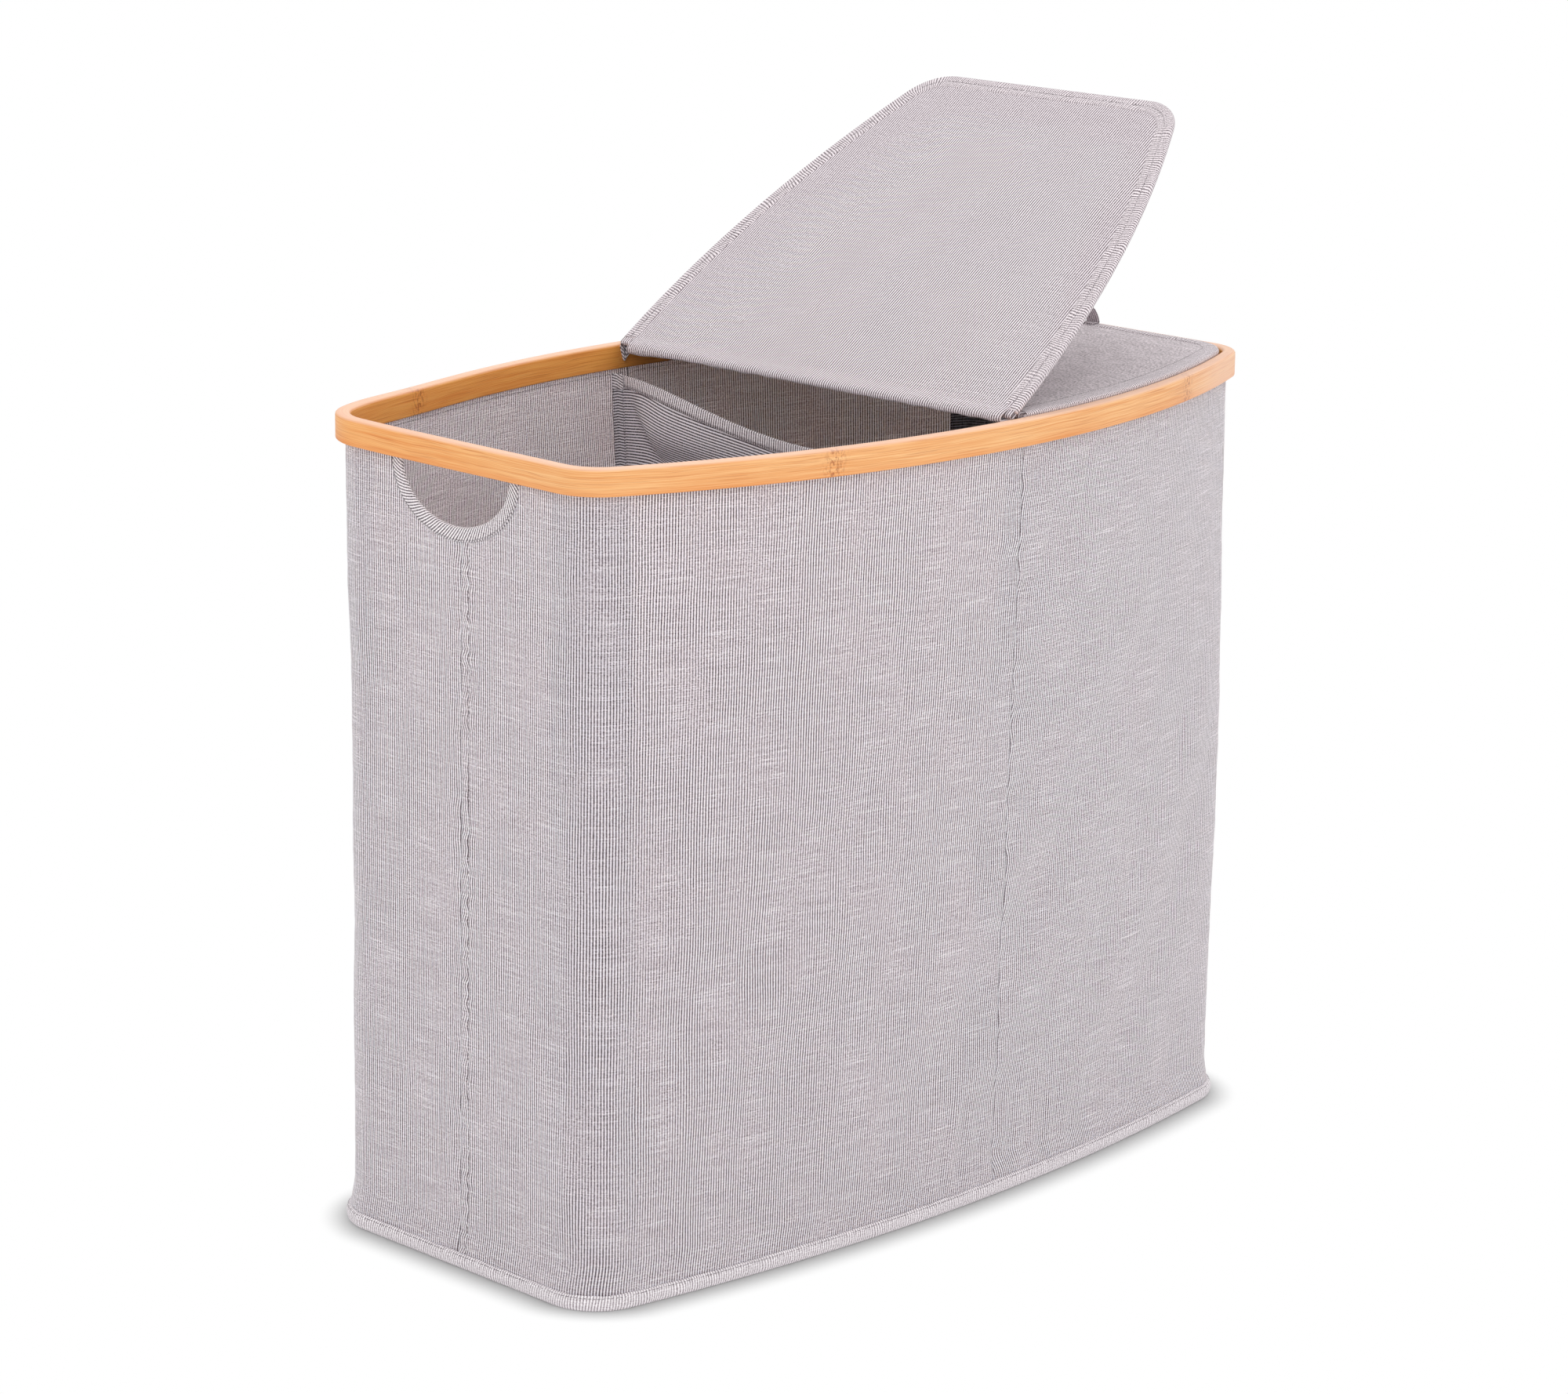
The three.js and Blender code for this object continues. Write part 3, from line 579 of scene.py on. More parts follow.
# The finishes, each with the values that it gives to its group
clothLook = {"Period": 0.0021, "Light": shade(247, 237, 242), "Dark": shade(86, 70, 77),
             "Contrast": 1.0, "Slubs": 1.0, "Fade": 0.4}
tapeLook = {"Period": 0.0021, "Light": shade(252, 244, 247), "Dark": shade(82, 70, 77),
            "Contrast": 1.1, "Slubs": 0.3, "Fade": 0.1}
edgeLook = {**tapeLook, "Light": shade(246, 236, 240), "Dark": shade(100, 88, 94),
            "Contrast": 0.95, "Slubs": 0.5, "Fade": 0.4}
hemMaterial = dressedWith("hemTape", stripedWeave, {**edgeLook, "Light": shade(255, 250, 253),
                          "Dark": shade(138, 126, 132), "Contrast": 0.8})
wallMaterial = dressedWith("wallCloth", stripedWeave, clothLook, through=0.8)
lidUnderMaterial = dressedWith("lidUnderCloth", stripedWeave, {
    **clothLook, "Light": shade(240, 231, 236), "Contrast": 1.15, "Slubs": 0.5, "Fade": 0.2})
dividerMaterial = dressedWith("dividerCloth", stripedWeave, {**clothLook, "Dark": shade(62, 50, 55),
                              "Contrast": 1.3, "Slubs": 0.4, "Fade": 0.15}, through=0.5)
tapeMaterial = dressedWith("bindingTape", stripedWeave, tapeLook)
edgeMaterial = dressedWith("edgeTape", stripedWeave, edgeLook)
biasMaterial = dressedWith("biasTape", stripedWeave, {**tapeLook, "Period": 0.0019, "Contrast": 1.0},
                           turn=math.radians(38))
sleeveMaterial = dressedWith("sleeveCloth", stripedWeave, {**clothLook, "Slubs": 0.6}, through=0.7)
lidTopMaterial = dressedWith("lidTopCloth", heatheredWeave, {})
liningMaterial = dressedWith("boardLining", heatheredWeave, {"Light": shade(168, 160, 164),
                             "Dark": shade(104, 98, 101)}, objectCoords=True)
threadMaterial = dressedWith("sewingThread", heatheredWeave, {"Light": shade(190, 182, 186),
                             "Dark": shade(72, 64, 70)}, depth=0.05 * mm)
bambooMaterial = dressedWith("bamboo", bambooGrain, {}, depth=0.14 * mm, sheen=0.0, specular=0.45,
                             masks=("Knot", "Crown", "Inside"))


# Brushed steel of the corner rods: fine noise drawn out along the rod
def makeRodMaterial():
    material, tree, shader = startMaterial("rodSteel")
    base = addNode(tree, "ShaderNodeTexCoord").outputs["Object"]
    drawn = noiseAt(tree, base, 900, 900, 3.0, z=20)
    steel = mixColor(tree, drawn, shade(120, 122, 126), shade(196, 198, 200))
    tree.links.new(steel, shader.inputs["Base Color"])
    tree.links.new(remap(tree, drawn, 0.2, 0.8, 0.28, 0.45), shader.inputs["Roughness"])
    shader.inputs["Metallic"].default_value = 1.0
    return material


rodMaterial = makeRodMaterial()
print("stage: materials made")


# A CAD node that stays visible gets a better material
def dressNode(name, material):
    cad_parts[name].material_slots[0].material = material


sides, ends = (("front", -1), ("rear", 1)), (("left", -1), ("right", 1))
corners = [(side, end, signY, signX) for side, signY in sides for end, signX in ends]
for sideName, endName, _, _ in corners:
    dressNode(f"corner_rod_{sideName}_{endName}", rodMaterial)
for endName, _ in ends:
    dressNode(f"base_board_{endName}", liningMaterial)
    dressNode(f"lid_board_{endName}", liningMaterial)


# Bamboo rim
rimLook = {
    "thickness": 10 * mm,
    "topRound": 2.6 * mm,
    "bottomRound": 1.2 * mm,
    "groove": (6.2 * mm, 8.5 * mm, 8.6 * mm),     # from and to these depths, and how high
    "stations": (60, 16, 10),       # along a side, round a corner, along half an end
    "knots": (0.12, 0.46, 0.712, 1.098, 1.629),   # along the loop from the rear middle, in metres
    "knotWidth": 13 * mm,
    "crown": (1.9 * mm, 1.5 * mm),  # a painted highlight on the top, fading in from this far below it over this height
    "endHighlight": (0.63, 0.07, 0.8),     # a painted highlight on the outer face about here: place, width and strength
    "endShade": (1.46, 0.13, 0.5),      # and painted shade about here
}

# The rear left corner of the rim stands a little out and up, as hand-bent bands do
cornerLook = {
    "place": (-0.326, 0.172),
    "width": 0.065,
    "out": (-5.0 * mm, 5.0 * mm),
    "outFrom": (0.33, 0.21),        # begins at this height and is full after that much more
    "up": 3.6 * mm,
    "upFrom": (0.45, 0.11),
}


# Moves points beside that corner by a Gaussian of their distance from it in plan, times how far
# their height lies between low walls and the rim
def settled(points, share=1.0):
    x, y, z = np.moveaxis(points, -1, 0)
    away = np.hypot(x - cornerLook["place"][0], y - cornerLook["place"][1])
    weight = bump(away, 0, cornerLook["width"]) * share
    outFrom, outOver = cornerLook["outFrom"]
    upFrom, upOver = cornerLook["upFrom"]
    out = weight * smooth((z - outFrom) / outOver)
    up = weight * np.clip((z - upFrom) / upOver, 0, 1) ** 2
    alongX, alongY = cornerLook["out"]
    return points + gridOf(out * alongX, out * alongY, up * cornerLook["up"])


# Section of the band as (depth, height): quarter circles at its four edges, and a groove below
def rimSection():
    top, low, w = plan["rimTop"], plan["rimBottom"], rimLook["thickness"]
    r, b = rimLook["topRound"], rimLook["bottomRound"]
    quarter = np.linspace(0, math.pi / 2, 7)
    sine, cosine = np.sin(quarter), np.cos(quarter)
    near, far, deep = rimLook["groove"]
    depth = np.concatenate([b - b * sine, r - r * cosine, w - r + r * sine, w - b + b * cosine,
                            [far, far, near, near]])
    height = np.concatenate([low + b - b * cosine, top - r + r * sine, top - r + r * cosine,
                             low + b - b * sine, [low, low + deep, low + deep, low]])
    return depth, height


# The rim: its section carried round the outline, each point set in from the outline by its depth.
# Point attributes mark the knots, the painted highlight on the top and near the right end, and the
# painted shade on the inner face and near the left end, for the grain.
def makeRim():
    depth, height = rimSection()
    q, signX, signY = loopStations(*rimLook["stations"])
    rings = [quarterPoint(insetShape(plan["rimShape"], d), q) for d in depth]
    flat = np.stack([gridOf(x * signX, y * signY) for x, y in rings], axis=1)
    flat = np.concatenate([flat, flat[:1]])
    u = lengthAlong(flat[:, 0])[:, None]
    v = lengthAlong(gridOf(depth, height))[None]
    zigzag = 1.2 * mm * np.sin(v * 900)
    knot = sum(bump(u, place + zigzag, rimLook["knotWidth"] / 2) for place in rimLook["knots"])
    # The crown mask is a painted highlight: on the top, and on the outer face near the right end
    highlightFrom, highlightOver = rimLook["crown"]
    above = np.clip((height - plan["rimTop"] + highlightFrom) / highlightOver, 0, 1)[None]
    outside = (depth < rimLook["thickness"] / 2)[None]
    innerFace = (depth > rimLook["thickness"] - rimLook["bottomRound"])[None]
    place, width, strength = rimLook["endHighlight"]
    crown = np.maximum(above, strength * bump(u, place, width) * outside)
    # The inside mask is painted shade: on the inner face, and near the left end
    place, width, strength = rimLook["endShade"]
    inside = np.maximum(innerFace, strength * bump(u, place, width))
    grid = settled(gridOf(flat[..., 0], flat[..., 1], height[None]))
    piece = sectionSweep("bamboo_rim", grid, gridOf(u, v), bambooMaterial, loop=True,
                         attributes={"knot": knot, "crown": crown, "inside": inside})
    seat(piece, "rim_band")


makeRim()
print("stage: rim made")


# Wall cloth
wallLook = {
    "thickness": 1.3 * mm,
    "ripple": (0.5 * mm, 0.085),   # soft unevenness all over: height and size
    "fine": (0.16 * mm, 0.017),
    "drape": (1.0 * mm, 0.13),     # long diagonal swells on the sides
    "drapeAt": (0.19, 0.15),       # about this height, fading within that distance
    "corner": 3.4 * mm,            # the closed bin's corners stand out this far
    "cornerAt": (0.28, 0.16),
    "sideSeamDip": 0.45 * mm,
    "endSeamDip": 0.4 * mm,
    "pucker": 0.28 * mm,
    "footPucker": 0.6 * mm,
    "gather": (0.25 * mm, 0.014),  # small gathers under the rim
    "topstitch": 7.8 * mm,         # stitched line beside the seam at mid end
    "stripeShift": 1.3 * mm,       # stripes wander this far beside a seam
    "rows": 230,
    "tuckedIn": 8 * mm,            # the cloth ends this far up in the rim's groove
    "low": 3 * mm,
    "holeEdge": 0.6 * mm,          # the cloth is cut this far outside the carrying hole
}


# Distance round the hamper for patterns, as x plus 1.31 y, which never jumps at a corner
def wayRound(x, y):
    return x + 1.31 * y


# The soft unevenness of the walls at a place, which whatever is sewn to them follows: ripples of
# two sizes, diagonal swells that are tighter near the ends, and the swell of the closed bin's
# corners, all calm at the hem and below the rim
def clothSwell(x, y, z):
    around = wayRound(x, y)
    calm = np.clip((plan["rimBottom"] - z) / 0.05, 0, 1) * np.clip((z - 0.006) / 0.03, 0, 1)
    tight = 1 - 0.75 * np.clip((np.abs(x) - 0.26) / 0.05, 0, 1)
    height, size = wallLook["ripple"]
    total = height * softNoise(around, z, size, 11) * (0.5 + 0.5 * tight)
    height, size = wallLook["fine"]
    total = total + height * softNoise(around, z * 0.5, size, 51)
    height, size = wallLook["drape"]
    wave = np.sin(2 * math.pi * (z * 0.8 - around) / size + 0.6)
    total = total + height * bump(z, *wallLook["drapeAt"]) * wave * tight
    towardsEnd = np.clip((x - 0.18) / 0.12, 0, 1)
    towardsSide = np.clip(np.abs(y) / 0.12, 0, 1)
    turned = smooth(towardsEnd * (0.35 + 0.65 * towardsSide))
    total = total + wallLook["corner"] * bump(z, *wallLook["cornerAt"]) * turned
    return total * calm


# How far seams draw the cloth in, for a distance s along it from the side seam and t to the end
# seam: a dip along each seam and along the topstitching, puckers that fade away from them, upright
# puckers by the side seam above the hem, and gathers under the rim
def seamRelief(s, t, x, y, z, topstitched):
    around = wayRound(x, y)
    total = -wallLook["sideSeamDip"] * bump(s, 0, 1.3 * mm)
    sideWave = np.sin(2 * math.pi * z / 0.021 + 2 * np.sin(z * 47))
    total = total + wallLook["pucker"] * bump(s, 0, 8 * mm) * sideWave
    footWave = np.sin(2 * math.pi * around / 0.019 + 9 * z)
    total = total + wallLook["footPucker"] * bump(z, 0.05, 0.045) * bump(s, 0.04, 0.05) * footWave
    total = total - wallLook["endSeamDip"] * bump(t, 0, 0.9 * mm)
    height, size = wallLook["gather"]
    total = total + height * bump(z, plan["rimBottom"], 0.03) * softNoise(around, z * 0.1, size, 9)
    if topstitched:
        line = wallLook["topstitch"]
        total = total - 1.3 * wallLook["endSeamDip"] * bump(t, line, 0.8 * mm)
        quick = np.sin(2 * math.pi * z / 0.0115 + 3 * np.sin(z * 55))
        wave = quick + 0.6 * np.sin(2 * math.pi * z / 0.027)
        beside = bump(t, 0.6 * line, 0.7 * line) * np.clip(t / (2 * mm), 0, 1)
        total = total + 1.2 * wallLook["pucker"] * wave * beside
    return total


# Columns of one wall panel: closer by the side seam, even along the side and round the corner,
# then along the end, gathered towards the carrying hole's edge and by the end seam
def wallColumns(hole):
    _, endStart = quarterPoint(insetShape(plan["rimShape"], plan["wallInset"]), np.array(2.0))
    sideSeamZone, endSeamZone = 0.022, 10 * mm
    straight = np.linspace(float(endStart), hole, 14)[1:]
    inHole = hole * np.cos(np.linspace(0, math.acos(endSeamZone / hole), 26))[1:]
    y = np.concatenate([straight, inHole, np.linspace(endSeamZone, 0, 23)[1:]])
    q = np.concatenate([np.linspace(0, sideSeamZone, 12, endpoint=False),
                        np.linspace(sideSeamZone, 1, 84, endpoint=False),
                        np.linspace(1, 2, 17), 2 + (endStart - y) / endStart])
    return np.clip(q, 0, 3)


# Top edge of a panel over its columns: up in the rim's groove, or along the carrying hole's half
# ellipse
def wallTop(q, signY):
    hole, depth = (plan[key] + wallLook["holeEdge"] for key in ("holeHalfWidth", "holeDepth"))
    _, y = quarterPoint(insetShape(plan["rimShape"], plan["wallInset"]), q)
    off = np.abs(y - signY * plan["holeOff"])
    cut = np.sqrt(np.clip(1 - (off / hole) ** 2, 0, 1)) * depth
    return np.where((q > 2) & (off < hole - 1e-6), plan["rimBottom"] - 0.3 * mm - cut,
                    plan["rimBottom"] + wallLook["tuckedIn"])


# One of the four wall panels: its columns times rows that are closer together near the hem, moved
# out along the normal in plan by the cloth's swell and its seams' relief
def makeWall(sideName, endName, signY, signX):
    q = wallColumns(plan["holeHalfWidth"] + wallLook["holeEdge"] + signY * plan["holeOff"])
    rise = np.interp(np.linspace(0, 1, wallLook["rows"]), [0, 0.14, 1], [0, 0.063, 1])
    low = wallLook["low"]
    z = low + (wallTop(q, signY)[:, None] - low) * rise[None]
    x, y = wallPoint(np.broadcast_to(q[:, None], z.shape), z, top=signX * plan["sideSeamTop"],
                     foot=signX * plan["sideSeamFoot"])
    flat = gridOf(x, y)
    s = lengthAlong(flat)
    t = s[-1:] - s
    along = unit(np.gradient(flat, axis=0))
    outward = gridOf(-along[..., 1], along[..., 0])
    towards = np.sign((outward * flat).sum(axis=-1, keepdims=True))
    outward = outward * np.where(towards == 0, 1, towards)
    relief = clothSwell(x * signX, y * signY, z)
    relief = relief + seamRelief(s, t, x * signX, y * signY, z, signY < 0)
    outer, inner = (settled(gridOf((x + outward[..., 0] * lift) * signX,
                                   (y + outward[..., 1] * lift) * signY, z))
                    for lift in (relief, relief - wallLook["thickness"]))
    seed = 60 + 3 * signX + signY
    wander = bump(s, 0, 22 * mm) * softNoise(z, z * 0, 0.034, seed)
    byEndSeam = bump(t, 4 * mm, 9 * mm) * softNoise(z, z * 0, 0.021, seed + 20)
    wander = wander + byEndSeam * (0.9 if signY < 0 else 0.4)
    across = t + wallLook["stripeShift"] * wander + 0.31 * (signX + 1) + 0.07 * signY
    name = f"{sideName}_{endName}"
    piece = clothShell(f"wall_cloth_{name}", outer, inner, gridOf(across, z), wallMaterial)
    seat(piece, f"wall_{name}")
    if signY < 0:
        column = int(np.abs(t[:, 100] - wallLook["topstitch"]).argmin())
        holeBottom = plan["rimBottom"] - plan["holeDepth"]
        sewn = (z[column] > 10 * mm) & (z[column] < holeBottom - 10 * mm)
        row = outer[column][sewn] + [signX * 0.1 * mm, 0, 0]
        stitchRow(f"end_stitches_{endName}", row, np.tile([float(signX), 0, 0], (len(row), 1)),
                  pitch=3.6 * mm, length=2.2 * mm, radius=0.24 * mm)


for corner in corners:
    makeWall(*corner)


# Hem tape round the foot
hemLook = {
    "height": 10.8 * mm,
    "bulge": 2.8 * mm,
    "depth": 1.6 * mm,
    "stitchAt": 9.5 * mm,
    "stitchStep": 3.2 * mm,
    "stations": (300, 46, 130),
}


# The tape wraps the foot as half an ellipse: its depth inside the foot's outline is a cosine of the
# angle from the floor up to the cloth, its height a sine. Small dimples at the stitches and slower
# puckers move its skin in and out along the loop.
def makeHem():
    h, at, foot = hemLook["height"], hemLook["stitchAt"], plan["footShape"]
    angle = np.linspace(-math.pi / 2, math.pi / 2, 13)
    skin = hemLook["depth"] - hemLook["bulge"] * np.cos(angle)
    depth = np.concatenate([skin, [3.4 * mm, 5.0 * mm, 5.0 * mm]])
    height = np.concatenate([h / 2 + h / 2 * np.sin(angle), [h - 0.5 * mm, h - 1.2 * mm, 0]])
    loose = np.concatenate([np.cos(angle), [0, 0, 0]])
    sewn = np.concatenate([bump(angle, 0.9, 0.45), [0, 0, 0]])
    q, signX, signY = loopStations(*hemLook["stations"])

    def ring(inset):
        x, y = quarterPoint(insetShape(foot, inset), q)
        return gridOf(x * signX, y * signY)

    base = ring(0.0)
    run = lengthAlong(np.concatenate([base, base[:1]]))[:-1]
    slow = 0.26 * mm * softNoise(run, run * 0, 0.018, 5)
    slow = slow + 0.14 * mm * softNoise(run, run * 0, 0.0075, 6)
    dimple = 0.20 * mm * np.sin(2 * math.pi * run / hemLook["stitchStep"])
    lift = 0.22 * mm * softNoise(run, run * 0, 0.02, 7)
    rings = []
    for d, z, slack, dip in zip(depth, height, loose, sewn):
        flat = ring(d - slow * slack - dimple * dip)
        rings.append(gridOf(flat[:, 0], flat[:, 1], z + lift * (z > 0.7 * h)))
    grid = np.stack(rings, axis=1)
    around = lengthAlong(gridOf(depth, height))[None]
    slant = 0.08 * around + 0.7 * mm * softNoise(run[:, None], around, 0.03, 12)
    uv = gridOf(run[:, None] + slant, around)
    grid = np.concatenate([grid, grid[:1]])
    uv = np.concatenate([uv, uv[:1]])
    uv[-1, :, 0] = uv[-2, :, 0] + run[1]
    seat(sectionSweep("hem_tape", grid, uv, hemMaterial, loop=True), "hem_binding")
    row = ring(hemLook["depth"] - hemLook["bulge"] * math.sqrt(1 - (2 * at / h - 1) ** 2))
    outward = unit(row - ring(10 * mm))
    stitchRow("hem_stitches", gridOf(row[:, 0], row[:, 1], at),
              unit(gridOf(outward[:, 0], outward[:, 1], 0.8)), pitch=hemLook["stitchStep"])


makeHem()


# Bottom cloth: a flat sheet inside the hem, filled by rows between the outline's two sides
def makeBottom():
    shape = insetShape(plan["footShape"], 5.2 * mm)
    halfLength = shape[0]
    x = halfLength * np.sin(np.linspace(-1, 1, 60) * math.pi / 2)
    y = halfWidthAt(shape, np.abs(x))
    across = np.linspace(-1, 1, 30)
    lower, upper = (gridOf(x[:, None], y[:, None] * across, z) for z in (0.0, 1.2 * mm))
    piece = clothShell("bottom_sheet", upper, lower, lower[..., [1, 0]], wallMaterial)
    seat(piece, "bottom_cloth")


makeBottom()


# Bias tape of the carrying holes
holeLook = {"width": 9.2 * mm, "thickness": 0.9 * mm, "cloth": 1.3 * mm}


# A U section carried down one side of the hole, round its bottom and up the other side. n is the
# way out of the hole's edge over the cloth, d the way out of the wall, and the tape's skin swells
# between its stitches.
def makeHoleTape(endName, signX):
    w, t, c = holeLook["width"], holeLook["thickness"], holeLook["cloth"]
    turn = np.linspace(math.pi / 2, -math.pi / 2, 9)
    roundOut = c / 2 + t
    over = np.array([[w, 0.05 * mm], [w - 0.6 * mm, 0.6 * mm], [0.6 * w, 0.95 * mm],
                     [0.3 * w, 1.0 * mm]])
    n = np.concatenate([over[:, 0], roundOut - roundOut * np.cos(turn) - t, over[::-1, 0],
                        [0.5 * mm, 0.5 * mm]])
    d = np.concatenate([over[:, 1], -c / 2 + roundOut * np.sin(turn), -c - over[::-1, 1],
                        [-c - 0.02 * mm, 0.02 * mm]])
    angle = np.linspace(-0.02, math.pi + 0.02, 150)
    hw, hd = plan["holeHalfWidth"], plan["holeDepth"]
    edgeY = plan["holeOff"] + hw * np.cos(angle)
    edgeZ = plan["rimBottom"] - 0.3 * mm - hd * np.sin(angle)
    normal = unit(gridOf(np.cos(angle) / hw, -np.sin(angle) / hd))
    run = lengthAlong(gridOf(edgeY, edgeZ))
    swell = 1 + 0.12 * np.sin(2 * math.pi * run / 0.0042)[:, None] * bump(n, 0.5 * w, 0.35 * w)[None]
    y = edgeY[:, None] + normal[:, :1] * n[None]
    z = np.minimum(edgeZ[:, None] + normal[:, 1:] * n[None], plan["rimBottom"] + 3 * mm)
    wallX, _ = wallPoint(np.full_like(z, 3.0), z)
    x = wallX + clothSwell(signX * wallX, y, z) + d * swell
    uv = gridOf(run[:, None], lengthAlong(gridOf(n, d))[None])
    piece = sectionSweep(f"hole_bias_{endName}", gridOf(signX * x, y, z), uv, biasMaterial)
    seat(piece, f"hole_tape_{endName}")
    stitchIn, proud = w * 0.86, 0.9 * mm
    rowY, rowZ = edgeY + normal[:, 0] * stitchIn, edgeZ + normal[:, 1] * stitchIn
    rowX, _ = wallPoint(np.full_like(rowZ, 3.0), rowZ)
    below = rowZ < plan["rimBottom"] - 1 * mm
    for label, out, lift in (("out", 1, proud), ("in", -1, -c - proud)):
        facing = np.tile([signX * out, 0.0, 0.0], (int(below.sum()), 1))
        row = gridOf(signX * (rowX + lift), rowY, rowZ)[below]
        stitchRow(f"hole_stitches_{endName}_{label}", row, facing)


for endName, signX in ends:
    makeHoleTape(endName, signX)
print("stage: hem and carrying holes bound")


# Divider
dividerLook = {
    "dip": 27 * mm,                # the top edge is this much lower in the middle
    "topGap": 5 * mm,
    "thickness": 1.0 * mm,
    "fold": 9 * mm,                # the belly under the bound edge
    "lowFold": 5 * mm,
    "wave": 3 * mm,
    "wallGap": 0.4 * mm,
    "tapeSkin": 0.6 * mm,
    "tapeDrop": 8 * mm,
    "stitchDrop": 6.4 * mm,
}


# Height of the top edge, a cosine across the hamper, for a share from -1 in front to 1 at the rear
def dividerTop(share):
    dip = dividerLook["dip"] * (1 + np.cos(math.pi * share)) / 2
    return plan["rimBottom"] - dividerLook["topGap"] - dip


# The panel's sway off its plane at y and z. Under the bound edge it bellies out on each side to a
# crest and falls back sharply below it, and a steep crease from the top corner bounds that belly.
# Lower ridges run down and inwards from both corners, and over all lies a wide slow wave.
def dividerSway(y, z, reach):
    share = y / reach
    still = np.clip(1 - np.abs(share) ** 10, 0, 1) * np.clip((z - 0.004) / 0.15, 0, 1)
    sway = dividerLook["wave"] * np.sin(1.5 * math.pi * share + 2.4 * z)
    drop = plan["rimBottom"] - z
    for side, slopes in ((1, (1.5, 2.9)), (-1, (1.2, 2.3))):
        along = reach - side * y
        crest = 0.040 + 0.05 * along
        belly = np.where(drop < crest, smooth(drop / crest), 1.3 * bump(drop, crest, 0.017) - 0.3)
        inside = smooth((along - drop / 1.45 + 0.004) / 0.014) * bump(along, 0.055, 0.075)
        sway = sway - dividerLook["fold"] * belly * inside * np.clip((0.16 - drop) / 0.06, 0, 1)
        for k, slope in enumerate(slopes):
            off = (drop - slope * along) / math.hypot(1, slope)
            away = np.hypot(drop, along)
            width = 0.008 + 0.16 * away
            ridge = np.exp(-np.maximum(off, 0) / width) * bump(np.minimum(off, 0), 0, 0.35 * width)
            reached = np.clip(away / 0.05, 0, 1) * bump(away, 0.16, 0.14)
            sway = sway + dividerLook["lowFold"] * (-1) ** k * ridge * reached
    return sway * still


# Half width between the long walls at height z, for a cloth that ends a gap short of their inner
# faces and follows their unevenness
def sewnReach(z, share, gap):
    _, reach = wallPoint(np.zeros_like(z), z, wallLook["thickness"] + gap, pinch=1.0)
    return reach + np.minimum(clothSwell(0.0, np.sign(share) * reach, z), 0)


# The divider's cloth: straight rows from wall to wall, swayed off its plane. Its stripes sag towards
# the middle, by a ramp with a soft start.
def makeDivider():
    share = np.linspace(-1, 1, 130)[:, None]
    low = 1.6 * mm
    z = low + (dividerTop(share) - low) * np.linspace(0, 1, 120)[None]
    reach = sewnReach(z, share, dividerLook["wallGap"])
    y = share * reach
    sway = dividerSway(y, z, reach)
    half = dividerLook["thickness"] / 2
    middle = gridOf(sway, y, z)
    drop, along = plan["rimBottom"] - z, reach - np.abs(y)
    sagFrom, softness = 0.036, 0.009
    ramp = np.log1p(np.exp((along - sagFrom) / softness)) * softness
    sag = 0.16 * ramp - 3 * mm * bump(along, 0.027, 0.02)
    uv = gridOf(drop - sag * np.clip((0.3 - drop) / 0.2, 0, 1), lengthAlong(middle))
    piece = clothShell("divider_cloth", gridOf(sway - half, y, z), gridOf(sway + half, y, z), uv,
                       dividerMaterial)
    seat(piece, "divider_panel")


# Tape folded over the divider's top edge: an upside-down U that follows the edge and its sway
def makeDividerTape():
    half, skin, drop = 0.55 * mm, dividerLook["tapeSkin"], dividerLook["tapeDrop"]
    turn = np.linspace(0, math.pi, 9)
    side = np.array([[half, -drop], [half + skin * 0.7, -drop], [half + skin, -0.6 * drop]])
    sectionX = np.concatenate([side[:, 0], (half + skin) * np.cos(turn), -side[::-1, 0],
                               [-half * 0.5, half * 0.5]])
    sectionZ = np.concatenate([side[:, 1], (half + skin) * np.sin(turn) * 0.9, side[::-1, 1],
                               [-drop + 1 * mm, -drop + 1 * mm]])
    share = np.linspace(-1, 1, 220)
    z = dividerTop(share)
    reach = sewnReach(z, share, 0.9 * mm)
    y = share * reach
    run = lengthAlong(gridOf(y, z))
    pucker = 1 + 0.10 * np.sin(2 * math.pi * run / 0.0041)
    across = sectionX[None] * pucker[:, None]
    level = z[:, None] + sectionZ[None]
    grid = gridOf(across + dividerSway(y[:, None], level, reach[:, None]), y[:, None], level)
    uv = gridOf(run[:, None], lengthAlong(gridOf(sectionX, sectionZ))[None])
    seat(sectionSweep("divider_tape", grid, uv, tapeMaterial), "divider_top_binding")
    low = z - dividerLook["stitchDrop"]
    row = gridOf(dividerSway(y, low, reach) - half - skin, y, low)
    stitchRow("divider_stitches", row, np.tile([-1.0, 0, 0], (len(y), 1)))


makeDividerTape()


# The strips that join the divider to the long walls
flangeLook = {
    "onWall": 5.8 * mm,
    "onDivider": 7.4 * mm,
    "bend": 1.2 * mm,
    "skin": 0.7 * mm,
    "low": 11 * mm,
    "top": plan["rimBottom"] - 4 * mm,
    "endTape": 10.6 * mm,          # the top binding's end covers this much of the strip
}


# An L of cloth: along the wall, round the inner corner by a quarter circle and along the divider,
# given as distances from the divider's middle plane and from the wall, for a lift off both
def flangeProfile(lift):
    bend = flangeLook["bend"] - lift * 0.5
    plane = dividerLook["thickness"] / 2 + 0.15 * mm + lift
    turn = np.linspace(0, math.pi / 2, 7)
    away = np.concatenate([np.linspace(flangeLook["onWall"], plane + bend, 9)[:-1],
                           plane + bend - bend * np.sin(turn), np.full(8, plane)])
    off = np.concatenate([np.full(8, lift), lift + bend - bend * np.cos(turn),
                          np.linspace(lift + bend, flangeLook["onDivider"], 9)[1:]])
    return away, off


